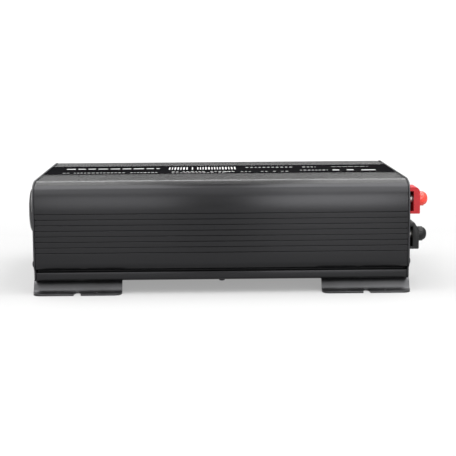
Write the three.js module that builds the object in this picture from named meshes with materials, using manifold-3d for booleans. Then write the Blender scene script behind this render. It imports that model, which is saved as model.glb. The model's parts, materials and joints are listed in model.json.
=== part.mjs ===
// A mains inverter of about 2 kW: a black anodised case extrusion on a tray,
// closed by two end panels. Sockets and switch are on the left end (-X), the
// battery terminals and the fan on the right end (+X). Millimetres, +Z up,
// front is -Y. The origin is on the floor, under the middle of the outer box.
import * as THREE from 'three';
import { mergeVertices } from 'three/addons/utils/BufferGeometryUtils.js';
import Module from 'manifold-3d';

const wasm = await Module();
wasm.setup();

// ---- driving dimensions ---------------------------------------------------

const caseLength = 366; // over both end panels
const caseWidth = 240; // over the two grooved sides
const caseHeight = 96.5; // underside to flat top
const topWidth = 200; // flat top, crease to crease
const footHeight = 13.5; // floor to underside of the case
const wall = 2.4;
const gap = 0.3; // between pieces that touch

const panelThickness = 1.5;
const panelReveal = 0.4; // shadow gap between a panel and the extrusion
const panelProud = 0.5; // panel outline outside the extrusion outline

const grooveCount = 8;
const groovePitch = 5.44;
const grooveTopZ = 66;
const grooveWidth = 1;
const grooveDepth = 0.8;

const shoulderStart = { y: 112.5, z: 93.6 }; // end of the sloped margin by the crease
const shoulderEndZ = 65;
const bulgeRadius = 7.7; // rounding of the side into the undercut
const bulgeCentreZ = 18;

const lipHalfWidth = 115; // outer face of the tray's upturned lip
const lipHeight = 8.5;
const lipRadius = 2.5;
const trayThickness = 2.5;

const footLength = 86.6;
const footCentreX = 141.3;
const footSheet = 2;
const footBend = 4;
const footInnerY = 86; // inner edge of the flange under the case
const footKneeY = 105.5; // upper bend
const footHeelY = 111.5; // lower bend
const footReach = 122.5; // outer edge of a foot, from the middle plane
const footCornerY = 112; // where the rounding of the outer corners starts
const footCornerRadius = 9;
const footNotchWidth = 7;
const footNotchY = 115.5; // centre of the notch's round end
const footHoleRadius = 2.3;
const footHoleSpacing = 38;
const footHoleY = 117;

const labelFrontY = -33;
const labelRearY = 50;
const labelThickness = 0.4;

const panelScrewSpots = [
  { tag: 'lower_front', y: -108, z: 16 },
  { tag: 'lower_rear', y: 108, z: 16 },
  { tag: 'upper_front', y: -100, z: 83 },
  { tag: 'upper_rear', y: 100, z: 83 },
];
const screwShankRadius = 1.6;
const screwHeadRadius = 3.3;
const screwHeadHeight = 2.2;
const screwLength = 15; // behind the panel's face

const outletRadius = 22.5; // collar of a mains outlet
const outletProud = 8.4;
const outletRecessRadius = 19.5;
const outletRecessDepth = 17.5;
const outletPinSpacing = 19;
const outletPinRadius = 2.7; // hole in the recess floor
const outletClipZ = 17.9; // earthing clips, above and below the centre
const outletClipWidth = 5.8;
const outletBaseRadius = 15.5; // narrow part behind the recess floor
const outletBaseDepth = 19;
const outletCentres = [{ y: -59, z: 63.4 }, { y: -5, z: 63.4 }];

const switchCentre = { y: 48, z: 63 };
const switchSize = { y: 25, z: 32 };
const rockerTilt = 9; // degrees to each side of the middle

const portProud = 0.6;
const usb = { y: 48, z: 28, width: 14.5, height: 7.2, mouthWidth: 12.5, mouthHeight: 5.1, depth: 16 };
const remote = { y: 76, z: 28, width: 13.5, height: 11.5, mouthWidth: 10, mouthHeight: 7.4, depth: 18 };
const lampCentres = { power_led: { y: 76, z: 73 }, fault_led: { y: 76, z: 58 } };
const lampRadius = 2.5;
const lampFlangeRadius = 3.4;

const ventCount = 13;
const ventPitch = 7;
const ventFirstY = -84;
const ventWidth = 3.2;
const ventBottomZ = 12;
const ventTopZ = 32;

// The outer upper corner of a block is cut back by cornerX and cornerZ.
const terminals = [
  { tag: 'positive', y: -60, bottomZ: 57.8, cornerX: 4.7, cornerZ: 5.8, rounded: true },
  { tag: 'negative', y: -56, bottomZ: 21.3, cornerX: 4.4, cornerZ: 7.3, rounded: false },
];
const blockSize = { x: 17.3, y: 26, z: 26.7 };
const blockHoleRadius = 5; // for the knob's shank
const pocketDepth = 23; // of the window, from the block's front
const knobTipX = 26.8; // knob tip, from the panel face
const knobAxisZ = 14; // knob axis above the bottom of its block
const knobRimRadius = 7.4;
const knobRimLength = 5.2;
const knobDomeRadius = 6.4;
const knobShankRadius = 4.3;
const studRadius = 3;
const studShoulderRadius = 4.6;
const studShoulderLength = 2.5;
const studHeadRadius = 6;
const terminalHoleRadius = 8; // in the end panel

const earthCentre = { y: -28, z: 62 };
const earthStudRadius = 3;
const earthStudProud = 13;
const earthNutWidth = 10; // across flats
const earthNutHeight = 5;
const earthWasher = { radius: 6, thickness: 1.2 };

const fanCentre = { y: 40, z: 48.2 };
const fanSize = 80;
const fanDepth = 25;
const fanBoreRadius = 38;
const fanHubRadius = 16.5;
const fanScrewSpacing = 71.5;
const fanScrewHoleRadius = 2.2;
const bladeCount = 7;
const bladeTipRadius = 36.2;
const bladePitch = 38; // degrees
const guardWire = 0.9; // radius
const guardRings = [15, 26, 37];

const baseScrewY = 107;
const baseScrewHoleRadius = 1.8;

const standoffRadius = 3.5;
const standoffXs = [-140, 0, 132];
const standoffY = 92;
const boardBottomZ = 10.5;
const boardTopZ = 12.1;
const boardHalfLength = 148;
const boardHalfWidth = 100;
const controlBoardHeight = 48;
const busBarThickness = 2;
const busBarHalfWidth = 9;

// ---- values worked out from them ------------------------------------------

const halfLength = caseLength / 2;
const halfWidth = caseWidth / 2;
const shellEndX = halfLength - panelThickness - panelReveal;
const panelInnerX = halfLength - panelThickness;
const outletCollarX = -(halfLength + outletProud);
const knobEndX = halfLength + knobTipX;
const X = new THREE.Vector3(1, 0, 0);
const Y = new THREE.Vector3(0, 1, 0);
const Z = new THREE.Vector3(0, 0, 1);

// ---- finishes ---------------------------------------------------------------

function finish(color, roughness, metalness) {
  return new THREE.MeshStandardMaterial({ color, roughness, metalness });
}

const blackAnodised = finish(0x2c2c2f, 0.42, 0.75);
const blackPanel = finish(0x242426, 0.5, 0.6);
const greyFoot = finish(0x4b4b4d, 0.45, 0.75);
const labelBlack = finish(0x141416, 0.25, 0);
const blackPlastic = finish(0x222224, 0.45, 0);
const redPlastic = finish(0xd23c42, 0.4, 0);
const redKnobPlastic = finish(0xf4553f, 0.35, 0);
const nickel = finish(0xc9cacb, 0.25, 1);
const zincSteel = finish(0x9a9b9d, 0.35, 1);
const blackScrew = finish(0x1d1d1f, 0.4, 0.7);
const brass = finish(0xc9a24b, 0.3, 1);
const copper = finish(0xc27b4e, 0.35, 1);
const aluminium = finish(0xb5b7ba, 0.4, 0.9);
const boardGreen = finish(0x1f5a38, 0.5, 0);
const ferrite = finish(0x35353a, 0.7, 0);
const amberTape = finish(0xd9a23a, 0.5, 0);
const capacitorBlue = finish(0x20304f, 0.4, 0);
const greenLens = finish(0x35c46a, 0.2, 0);
const redLens = finish(0xd2352f, 0.2, 0);

// ---- geometry helpers -------------------------------------------------------

// Turns a shape drawn in (y, z) into a bar that runs along X.
function extrudeX(shape, x0, x1, curveSegments = 8) {
  const geometry = new THREE.ExtrudeGeometry(shape, { depth: x1 - x0, bevelEnabled: false, curveSegments });
  geometry.applyMatrix4(new THREE.Matrix4().makeBasis(Y, Z, X));
  return geometry.translate(x0, 0, 0);
}

// Turns a shape drawn in (x, z) into a bar that runs along Y.
function extrudeY(shape, y0, y1, curveSegments = 8) {
  const geometry = new THREE.ExtrudeGeometry(shape, { depth: y1 - y0, bevelEnabled: false, curveSegments });
  geometry.applyMatrix4(new THREE.Matrix4().makeBasis(X, Z, Y.clone().negate()));
  return geometry.translate(0, y1, 0);
}

// Turns a shape drawn in (x, y) into a plate that rises along Z.
function extrudeZ(shape, z0, z1, curveSegments = 8) {
  const geometry = new THREE.ExtrudeGeometry(shape, { depth: z1 - z0, bevelEnabled: false, curveSegments });
  return geometry.translate(0, 0, z0);
}

function box(x0, x1, y0, y1, z0, z1) {
  const geometry = new THREE.BoxGeometry(x1 - x0, y1 - y0, z1 - z0);
  return geometry.translate((x0 + x1) / 2, (y0 + y1) / 2, (z0 + z1) / 2);
}

// Revolves [x, radius] points about a line along X through (y, z).
function latheX(points, y, z, segments = 32) {
  const profile = points.map(([along, radius]) => new THREE.Vector2(radius, along));
  const geometry = new THREE.LatheGeometry(profile, segments);
  geometry.applyMatrix4(new THREE.Matrix4().makeBasis(Y, X, Z.clone().negate()));
  return geometry.translate(0, y, z);
}

function rodX(y, z, radius, x0, x1, segments = 16) {
  return latheX([[x0, 0], [x0, radius], [x1, radius], [x1, 0]], y, z, segments);
}

// Revolves [z, radius] points about a vertical line through (x, y).
function latheZ(points, x, y, segments = 32) {
  const profile = points.map(([up, radius]) => new THREE.Vector2(radius, up));
  const geometry = new THREE.LatheGeometry(profile, segments);
  geometry.applyMatrix4(new THREE.Matrix4().makeBasis(Y, Z, X));
  return geometry.translate(x, y, 0);
}

function rodZ(x, y, radius, z0, z1, segments = 16) {
  return latheZ([[z0, 0], [z0, radius], [z1, radius], [z1, 0]], x, y, segments);
}

// Closed mesh with shared corners and without the flat slivers at a lathe's poles.
function welded(geometry) {
  const bare = geometry.clone();
  bare.deleteAttribute('normal');
  bare.deleteAttribute('uv');
  const merged = mergeVertices(bare, 1e-5);
  const index = merged.getIndex().array;
  const kept = [];
  for (let i = 0; i < index.length; i += 3) {
    const [a, b, c] = [index[i], index[i + 1], index[i + 2]];
    if (a !== b && b !== c && c !== a) kept.push(a, b, c);
  }
  merged.setIndex(kept);
  return merged;
}

function toSolid(geometry) {
  const merged = welded(geometry);
  const vertProperties = new Float32Array(merged.getAttribute('position').array);
  const triVerts = new Uint32Array(merged.getIndex().array);
  return new wasm.Manifold(new wasm.Mesh({ numProp: 3, vertProperties, triVerts }));
}

function toGeometry(solid) {
  const mesh = solid.getMesh();
  const geometry = new THREE.BufferGeometry();
  geometry.setAttribute('position', new THREE.BufferAttribute(mesh.vertProperties, 3));
  geometry.setIndex(new THREE.BufferAttribute(mesh.triVerts, 1));
  return geometry;
}

function join(...geometries) {
  return toGeometry(geometries.map(toSolid).reduce((sum, next) => sum.add(next)));
}

function cut(body, ...tools) {
  return toGeometry(tools.map(toSolid).reduce((left, tool) => left.subtract(tool), toSolid(body)));
}

// A round hole whose flats, not only its corners, keep the radius.
function circle(u, v, radius) {
  const count = radius > 10 ? 32 : 10;
  const corner = radius / Math.cos(Math.PI / count);
  return new THREE.Path(Array.from({ length: count }, (_, i) => new THREE.Vector2(
    u + corner * Math.cos((-i * 2 * Math.PI) / count),
    v + corner * Math.sin((-i * 2 * Math.PI) / count),
  )));
}

function rectangle(u, v, width, height) {
  const path = new THREE.Path();
  path.moveTo(u - width / 2, v - height / 2);
  path.lineTo(u - width / 2, v + height / 2);
  path.lineTo(u + width / 2, v + height / 2);
  path.lineTo(u + width / 2, v - height / 2);
  path.closePath();
  return path;
}

function roundedRectangle(u0, u1, v0, v1, radius) {
  const shape = new THREE.Shape();
  shape.absarc(u1 - radius, v0 + radius, radius, -Math.PI / 2, 0);
  shape.absarc(u1 - radius, v1 - radius, radius, 0, Math.PI / 2);
  shape.absarc(u0 + radius, v1 - radius, radius, Math.PI / 2, Math.PI);
  shape.absarc(u0 + radius, v0 + radius, radius, Math.PI, 1.5 * Math.PI);
  shape.closePath();
  return shape;
}

// Outline of a bent metal strip: a centre line with rounded bends, given a thickness.
function bentStrip(corners, bendRadius, thickness) {
  const line = [];
  const at = corners.map(([u, v]) => new THREE.Vector2(u, v));
  line.push(at[0]);
  for (let i = 1; i < at.length - 1; i += 1) {
    const back = at[i - 1].clone().sub(at[i]);
    const on = at[i + 1].clone().sub(at[i]);
    const reach = Math.min(bendRadius, back.length() / 2, on.length() / 2);
    const start = at[i].clone().add(back.setLength(reach));
    const end = at[i].clone().add(on.setLength(reach));
    line.push(...new THREE.QuadraticBezierCurve(start, at[i], end).getPoints(5));
  }
  line.push(at[at.length - 1]);
  const sideOf = (offset) => line.map((point, i) => {
    const before = line[Math.max(i - 1, 0)];
    const after = line[Math.min(i + 1, line.length - 1)];
    const along = after.clone().sub(before).normalize();
    return new THREE.Vector2(point.x - along.y * offset, point.y + along.x * offset);
  });
  const right = sideOf(-thickness / 2);
  const left = sideOf(thickness / 2).reverse();
  return new THREE.Shape([...right, ...left]);
}

// ---- the scene graph --------------------------------------------------------

const inverter = new THREE.Group();
inverter.name = 'power_inverter';
inverter.position.set(-(knobEndX + outletCollarX) / 2, 0, footHeight);

function addPart(name, geometry, material) {
  const mesh = new THREE.Mesh(welded(geometry), material);
  mesh.name = name;
  inverter.add(mesh);
}

// ---- case section -----------------------------------------------------------

// Rear half of the outside of the section, from the crease beside the flat top
// to the straight side. grown widens the outline.
function sectionPoints(grown, withGrooves) {
  const half = [];
  half.push(new THREE.Vector2(topWidth / 2 - 1.2, caseHeight + grown));
  half.push(new THREE.Vector2(topWidth / 2 - 0.1, caseHeight + grown - 0.12));
  half.push(new THREE.Vector2(topWidth / 2 + 1, caseHeight + grown - 0.38));
  const shoulder = new THREE.CubicBezierCurve(
    new THREE.Vector2(shoulderStart.y + grown * 0.4, shoulderStart.z + grown * 0.9),
    new THREE.Vector2(shoulderStart.y + 5 + grown, shoulderStart.z - 1.6 + grown),
    new THREE.Vector2(halfWidth + grown, 82),
    new THREE.Vector2(halfWidth + grown, shoulderEndZ + 2.5),
  );
  half.push(...shoulder.getPoints(12));
  if (withGrooves) {
    for (let i = 0; i < grooveCount; i += 1) {
      const z = grooveTopZ - i * groovePitch;
      half.push(new THREE.Vector2(halfWidth, z + grooveWidth / 2));
      half.push(new THREE.Vector2(halfWidth - grooveDepth, z + grooveWidth / 4));
      half.push(new THREE.Vector2(halfWidth - grooveDepth, z - grooveWidth / 4));
      half.push(new THREE.Vector2(halfWidth, z - grooveWidth / 2));
    }
  }
  return half;
}

// The rounding from the side into the undercut, as far as lowestY.
function bulgePoints(radius, lowestY) {
  const centreY = halfWidth - bulgeRadius;
  const last = Math.acos(Math.max(0, (lowestY - centreY) / radius));
  const points = [];
  for (let i = 0; i <= 8; i += 1) {
    const angle = (last * i) / 8;
    points.push(new THREE.Vector2(
      centreY + radius * Math.cos(angle),
      bulgeCentreZ - radius * Math.sin(angle),
    ));
  }
  return points;
}

function mirrored(half) {
  return half.map((point) => new THREE.Vector2(-point.x, point.y)).reverse();
}

// Outline of an end panel: the case section, with the tray's edge below.
function panelOutline(grown) {
  const lipY = lipHalfWidth + grown;
  const half = [...sectionPoints(grown, false), ...bulgePoints(bulgeRadius + grown, lipY)];
  const corner = lipRadius + grown;
  for (let i = 0; i <= 4; i += 1) {
    const angle = (i / 4) * (Math.PI / 2);
    half.push(new THREE.Vector2(
      lipY - corner + corner * Math.cos(angle),
      corner - corner * Math.sin(angle),
    ));
  }
  return new THREE.Shape([...mirrored(half), ...half].reverse());
}

// ---- case -------------------------------------------------------------------

const legInnerY = halfWidth - bulgeRadius - wall;
const legOuterY = halfWidth - bulgeRadius;
const legBottomZ = trayThickness + 0.5;
const channelRadius = screwShankRadius + gap;

// Inside of the case section, with the screw channels standing on its wall.
function shellInnerPoints() {
  const upper = panelScrewSpots[3];
  const lower = panelScrewSpots[1];
  const ceiling = caseHeight - wall;
  const innerY = halfWidth - wall - grooveDepth;
  const half = [
    new THREE.Vector2(upper.y - 4, ceiling),
    new THREE.Vector2(upper.y - 4, upper.z - 4),
    new THREE.Vector2(upper.y + 4, upper.z - 4),
    new THREE.Vector2(upper.y + 4, ceiling - 1.8),
  ];
  const shoulder = new THREE.CubicBezierCurve(
    new THREE.Vector2(shoulderStart.y - 1.2, shoulderStart.z - wall - 0.8),
    new THREE.Vector2(shoulderStart.y + 2.5, shoulderStart.z - 5),
    new THREE.Vector2(innerY, 80),
    new THREE.Vector2(innerY, shoulderEndZ),
  );
  half.push(...shoulder.getPoints(6));
  half.push(new THREE.Vector2(innerY, lower.z + 5));
  half.push(new THREE.Vector2(lower.y - 4, lower.z + 5));
  half.push(new THREE.Vector2(lower.y - 4, lower.z - 4));
  half.push(new THREE.Vector2(legInnerY, lower.z - 5));
  half.push(new THREE.Vector2(legInnerY, legBottomZ));
  return half;
}

function buildUpperShell() {
  const outer = [...sectionPoints(0, true), ...bulgePoints(bulgeRadius, legOuterY)];
  outer.push(new THREE.Vector2(legOuterY, legBottomZ));
  const inner = shellInnerPoints();
  const section = new THREE.Shape([
    ...mirrored(outer), ...outer, ...inner.slice().reverse(), ...mirrored(inner).reverse(),
  ].reverse());
  for (const spot of panelScrewSpots) section.holes.push(circle(spot.y, spot.z, channelRadius));
  const bar = extrudeX(section, -shellEndX, shellEndX, 5);
  const screwHoles = [-1, 1].map((side) => rodZ(
    0, side * baseScrewY, baseScrewHoleRadius, legBottomZ, 15, 12,
  ));
  addPart('upper_shell', cut(bar, ...screwHoles), blackAnodised);
}

function buildBasePlate() {
  const lipInnerY = legOuterY + gap;
  const half = [
    new THREE.Vector2(lipInnerY, trayThickness),
    new THREE.Vector2(lipInnerY, lipHeight - 0.6),
    new THREE.Vector2(lipInnerY + 0.6, lipHeight),
    new THREE.Vector2(lipHalfWidth - 0.8, lipHeight),
    new THREE.Vector2(lipHalfWidth, lipHeight - 0.8),
  ];
  for (let i = 0; i <= 4; i += 1) {
    const angle = (i / 4) * (Math.PI / 2);
    half.push(new THREE.Vector2(
      lipHalfWidth - lipRadius + lipRadius * Math.cos(angle),
      lipRadius - lipRadius * Math.sin(angle),
    ));
  }
  const tray = extrudeX(new THREE.Shape([...mirrored(half), ...half]), -shellEndX, shellEndX);
  const standoffs = [];
  for (const x of standoffXs) {
    for (const y of [-standoffY, standoffY]) {
      standoffs.push(rodZ(x, y, standoffRadius, trayThickness / 2, boardBottomZ - gap, 12));
    }
  }
  const holes = [-1, 1].map((side) => rodZ(
    0, side * baseScrewY, baseScrewHoleRadius, -1, trayThickness + 1, 12,
  ));
  addPart('base_plate', cut(join(tray, ...standoffs), ...holes), blackAnodised);
}

function buildTopLabel() {
  const shape = roundedRectangle(-shellEndX, shellEndX, labelFrontY, labelRearY, 1);
  const underside = caseHeight + 0.05;
  addPart('top_label', extrudeZ(shape, underside, underside + labelThickness - 0.05, 2), labelBlack);
}

// ---- feet -------------------------------------------------------------------

// A Z-shaped foot of bent sheet: a flange under the case, a sloping web and an
// outward flange with a fastening notch and two holes. side is -1 at the front.
function footGeometry(centreX, side) {
  const low = -footHeight + footSheet / 2;
  const high = -gap - footSheet / 2;
  const line = [[footInnerY, high], [footKneeY, high], [footHeelY, low], [footReach, low]];
  const profile = bentStrip(line.map(([out, z]) => [side * out, z]), footBend, footSheet);
  const x0 = centreX - footLength / 2;
  const x1 = centreX + footLength / 2;
  const bar = extrudeX(profile, x0, x1);

  const insideY = footInnerY - 6;
  const outline = new THREE.Shape();
  outline.moveTo(x0 - 1, side * insideY);
  outline.lineTo(x0 - 1, side * footCornerY);
  outline.lineTo(x0, side * footCornerY);
  outline.quadraticCurveTo(x0, side * footReach, x0 + footCornerRadius, side * footReach);
  outline.lineTo(x1 - footCornerRadius, side * footReach);
  outline.quadraticCurveTo(x1, side * footReach, x1, side * footCornerY);
  outline.lineTo(x1 + 1, side * footCornerY);
  outline.lineTo(x1 + 1, side * insideY);
  const keep = extrudeZ(outline, -footHeight - 1, 1, 8);

  const toolBottom = -footHeight - 1;
  const toolTop = -footHeight + 2 * footSheet;
  const outsideY = footReach + 7;
  const notch = join(
    box(
      centreX - footNotchWidth / 2, centreX + footNotchWidth / 2,
      Math.min(side * footNotchY, side * outsideY), Math.max(side * footNotchY, side * outsideY),
      toolBottom, toolTop,
    ),
    rodZ(centreX, side * footNotchY, footNotchWidth / 2, toolBottom, toolTop, 20),
  );
  const holes = [-1, 1].map((end) => rodZ(
    centreX + (end * footHoleSpacing) / 2, side * footHoleY, footHoleRadius, toolBottom, toolTop, 16,
  ));
  const trimmed = toSolid(bar).intersect(toSolid(keep));
  return cut(toGeometry(trimmed), notch, ...holes);
}

function buildFeet() {
  for (const [where, side] of [['front', -1], ['rear', 1]]) {
    addPart(`foot_${where}_left`, footGeometry(-footCentreX, side), greyFoot);
    addPart(`foot_${where}_right`, footGeometry(footCentreX, side), greyFoot);
  }
}

// ---- end panels and their screws ----------------------------------------------

function panelShape() {
  const shape = panelOutline(panelProud);
  for (const spot of panelScrewSpots) shape.holes.push(circle(spot.y, spot.z, channelRadius));
  return shape;
}

function ventPath(y) {
  const half = ventWidth / 2;
  const cap = half / 2;
  return new THREE.Path([
    [-half, ventBottomZ + cap], [-half, ventTopZ - cap], [-cap, ventTopZ], [cap, ventTopZ],
    [half, ventTopZ - cap], [half, ventBottomZ + cap], [cap, ventBottomZ], [-cap, ventBottomZ],
  ].map(([across, z]) => new THREE.Vector2(y + across, z)));
}

function buildAcPanel() {
  const shape = panelShape();
  for (const at of outletCentres) shape.holes.push(circle(at.y, at.z, outletRadius - 1));
  shape.holes.push(rectangle(switchCentre.y, switchCentre.z, switchSize.y - 3, switchSize.z - 2));
  for (const port of [usb, remote]) {
    shape.holes.push(rectangle(port.y, port.z, port.width + 2 * gap, port.height + 2 * gap));
  }
  for (const at of Object.values(lampCentres)) shape.holes.push(circle(at.y, at.z, lampRadius + gap));
  for (let i = 0; i < ventCount; i += 1) shape.holes.push(ventPath(ventFirstY + i * ventPitch));
  addPart('ac_end_panel', extrudeX(shape, -halfLength, -panelInnerX, 5), blackPanel);
}

function buildDcPanel() {
  const shape = panelShape();
  for (const { y, bottomZ } of terminals) {
    shape.holes.push(circle(y, bottomZ + knobAxisZ, terminalHoleRadius));
  }
  shape.holes.push(circle(earthCentre.y, earthCentre.z, earthStudRadius + gap));
  shape.holes.push(circle(fanCentre.y, fanCentre.z, fanBoreRadius));
  addPart('dc_end_panel', extrudeX(shape, panelInnerX, halfLength, 12), blackPanel);
}

// Pan head outside the panel, shank in the extrusion's screw channel.
function panelScrew(spot, end) {
  const tip = halfLength - screwLength;
  const seat = halfLength + gap;
  const screw = latheX([
    [tip, 0], [tip, screwShankRadius], [seat, screwShankRadius], [seat, screwHeadRadius],
    [seat + screwHeadHeight * 0.5, screwHeadRadius], [seat + screwHeadHeight * 0.95, screwHeadRadius * 0.72],
    [seat + screwHeadHeight, screwHeadRadius * 0.3], [seat + screwHeadHeight, 0],
  ], 0, 0, 10);
  if (end < 0) screw.rotateZ(Math.PI);
  return screw.translate(0, spot.y, spot.z);
}

function buildPanelScrews() {
  for (const spot of panelScrewSpots) {
    addPart(`ac_screw_${spot.tag}`, panelScrew(spot, -1), blackScrew);
    addPart(`dc_screw_${spot.tag}`, panelScrew(spot, 1), blackScrew);
  }
}

function buildBaseScrews() {
  for (const [where, side] of [['front', -1], ['rear', 1]]) {
    const points = [[-2.3, 0], [-2.3, 1.6], [-1.7, 2.7], [-gap, 3], [-gap, 1.5], [14, 1.5], [14, 0]];
    addPart(`base_screw_${where}`, latheZ(points, 0, side * baseScrewY, 12), blackScrew);
  }
}

// ---- mains outlets --------------------------------------------------------------

const outletFloorX = outletCollarX + outletRecessDepth;
const outletRearX = outletFloorX + outletBaseDepth;

function outletHousing(at) {
  const bodyRadius = outletRadius - 1 - gap;
  const seat = -halfLength - gap;
  const body = latheX([
    [outletCollarX, outletRecessRadius], [outletFloorX, outletRecessRadius], [outletFloorX, 0],
    [outletRearX, 0], [outletRearX, outletBaseRadius], [outletFloorX + 3, outletBaseRadius],
    [outletFloorX + 3, bodyRadius],
    [seat, bodyRadius], [seat, outletRadius], [outletCollarX + 1.5, outletRadius],
    [outletCollarX, outletRadius - 1.5], [outletCollarX, outletRecessRadius],
  ].reverse(), at.y, at.z, 28);
  const tools = [];
  for (const side of [-1, 1]) {
    const y = at.y + (side * outletPinSpacing) / 2;
    tools.push(rodX(y, at.z, outletPinRadius, outletFloorX - 1, outletFloorX + 3, 16));
    tools.push(rodX(y, at.z, outletPinRadius + 0.9, outletFloorX + 2, outletRearX + 1, 16));
    const z = at.z + side * outletClipZ;
    const slotHalf = outletClipWidth / 2 + 0.5;
    tools.push(box(outletFloorX - 1, outletFloorX + 4, at.y - slotHalf, at.y + slotHalf, z - 0.8, z + 0.8));
  }
  return cut(body, ...tools);
}

// A U of spring strip: two earthing clips in the recess, bridged behind the body.
function outletEarthStrap(at) {
  const bulge = 1.6;
  const upper = [
    [outletCollarX + 3, outletClipZ], [outletCollarX + 7, outletClipZ - bulge],
    [outletFloorX - 2, outletClipZ], [outletRearX + 1.5, outletClipZ],
  ];
  const lower = upper.map(([x, z]) => [x, -z]).reverse();
  const strip = bentStrip([...upper, ...lower], 1, 0.8);
  return extrudeY(strip, -outletClipWidth / 2, outletClipWidth / 2, 2).translate(0, at.y, at.z);
}

// A sleeve for one pin, with a solder tail behind it.
function outletContact(at, side) {
  const front = outletFloorX + 2.4;
  const rear = outletRearX - 2;
  const tailEnd = outletRearX + 5;
  const [bore, outside, tail] = [2.4, 3.2, 1.2];
  return latheX([
    [rear, bore], [front, bore], [front, outside], [rear + 1.2, outside], [rear + 1.2, tail],
    [tailEnd, tail], [tailEnd, 0], [rear, 0], [rear, bore],
  ], at.y + (side * outletPinSpacing) / 2, at.z, 14);
}

function buildOutlets() {
  outletCentres.forEach((at, i) => {
    addPart(`outlet_${i + 1}_housing`, outletHousing(at), blackPlastic);
    addPart(`outlet_${i + 1}_earth_strap`, outletEarthStrap(at), nickel);
    addPart(`outlet_${i + 1}_line_contact`, outletContact(at, -1), brass);
    addPart(`outlet_${i + 1}_neutral_contact`, outletContact(at, 1), brass);
  });
}

// ---- switch, ports and lamps ------------------------------------------------------

const rockerPivotX = -halfLength + 2.5;
const rockerHalfHeight = 12.2;

function buildSwitch() {
  const { y, z } = switchCentre;
  const [halfWide, halfTall] = [switchSize.y / 2, switchSize.z / 2];
  const flange = extrudeX(
    roundedRectangle(y - halfWide, y + halfWide, z - halfTall, z + halfTall, 1.5),
    -halfLength - 2.3, -halfLength - gap, 4,
  );
  const bodyY = (switchSize.y - 3) / 2 - gap;
  const bodyZ = (switchSize.z - 2) / 2 - gap;
  const body = box(-halfLength - 1, -halfLength + 20, y - bodyY, y + bodyY, z - bodyZ, z + bodyZ);
  const well = box(-halfLength - 5, -halfLength + 16, y - bodyY + 1.2, y + bodyY - 1.2, z - 13.9, z + 13.9);
  const bezel = cut(join(flange, body), well);
  const lugs = [-1, 1].map((side) => rodX(0, 0, 1.3, 0, 3, 12)
    .rotateZ(Math.PI / 2)
    .translate(rockerPivotX, y + side * (bodyY - 1.8) - 1.5, z));
  addPart('switch_bezel', join(bezel, ...lugs), blackPlastic);

  const halfY = bodyY - 1.5 - gap;
  const outline = new THREE.Shape();
  outline.moveTo(-6.3, -rockerHalfHeight);
  outline.quadraticCurveTo(-3.4, 0, -6.3, rockerHalfHeight);
  outline.lineTo(-1, rockerHalfHeight - 0.4);
  outline.lineTo(4.5, 5);
  outline.lineTo(4.5, -5);
  outline.lineTo(-1, -rockerHalfHeight + 0.4);
  outline.closePath();
  const paddle = extrudeY(outline, -halfY, halfY, 8);
  const sockets = [-1, 1].map((side) => rodX(0, 0, 1.7, 0, 3, 12)
    .rotateZ(Math.PI / 2)
    .translate(0, side * (halfY - 0.4) - 1.5, 0));
  const rocker = cut(paddle, ...sockets)
    .rotateY(THREE.MathUtils.degToRad(-rockerTilt))
    .translate(rockerPivotX, y, z);
  addPart('switch_rocker', rocker, blackPlastic);
}

// A port: a box behind the panel with a mouth open to the outside.
function portGeometry({ y, z, width, height, mouthWidth, mouthHeight, depth }) {
  const face = -halfLength - portProud;
  const rear = face + depth;
  const body = box(face, rear, y - width / 2, y + width / 2, z - height / 2, z + height / 2);
  const mouth = box(
    face - 1, rear - 4, y - mouthWidth / 2, y + mouthWidth / 2, z - mouthHeight / 2, z + mouthHeight / 2,
  );
  return cut(body, mouth);
}

function buildPorts() {
  addPart('usb_port', portGeometry(usb), nickel);
  addPart('remote_port', portGeometry(remote), blackPlastic);
}

function buildLamps() {
  for (const [name, at] of Object.entries(lampCentres)) {
    const inside = -panelInnerX + gap;
    const lens = latheX([
      [-halfLength - 2.6, 0], [-halfLength - 2.2, 1.4], [-halfLength - 1, lampRadius],
      [inside, lampRadius], [inside, lampFlangeRadius], [inside + 1.5, lampFlangeRadius], [inside + 1.5, 0],
    ], at.y, at.z, 16);
    addPart(name, lens, name === 'power_led' ? greenLens : redLens);
  }
}

// ---- battery terminals --------------------------------------------------------------

const blockFaceX = halfLength + blockSize.x;
const pocket = { x0: halfLength + 2.3, x1: halfLength + 10.9, below: 11.5, above: 8.9 };
const washer = { x0: halfLength + 5.4, x1: halfLength + 6.5, radius: 6.2 };

function terminalBlock({ y, bottomZ, cornerX, cornerZ, rounded }) {
  const axisZ = bottomZ + knobAxisZ;
  const top = bottomZ + blockSize.z;
  const seat = halfLength + gap;
  const side = new THREE.Shape();
  side.moveTo(seat, bottomZ);
  side.lineTo(blockFaceX - 0.8, bottomZ);
  side.lineTo(blockFaceX, bottomZ + 0.8);
  side.lineTo(blockFaceX, top - cornerZ);
  if (rounded) side.quadraticCurveTo(blockFaceX, top, blockFaceX - cornerX, top);
  else side.lineTo(blockFaceX - cornerX, top);
  side.lineTo(seat, top);
  side.closePath();
  const shell = extrudeY(side, y - blockSize.y / 2, y + blockSize.y / 2, 6);
  const spigot = rodX(y, axisZ, 7.6, panelInnerX - 1, seat + 1, 20);
  return cut(
    join(shell, spigot),
    box(
      pocket.x0, pocket.x1, y - blockSize.y / 2 - 1, y - blockSize.y / 2 + pocketDepth,
      axisZ - pocket.below, axisZ + pocket.above,
    ),
    rodX(y, axisZ, studRadius + gap, panelInnerX - 2, pocket.x0 + 1, 20),
    rodX(y, axisZ, blockHoleRadius, pocket.x1 - 1, blockFaceX + 1, 24),
  );
}

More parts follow.
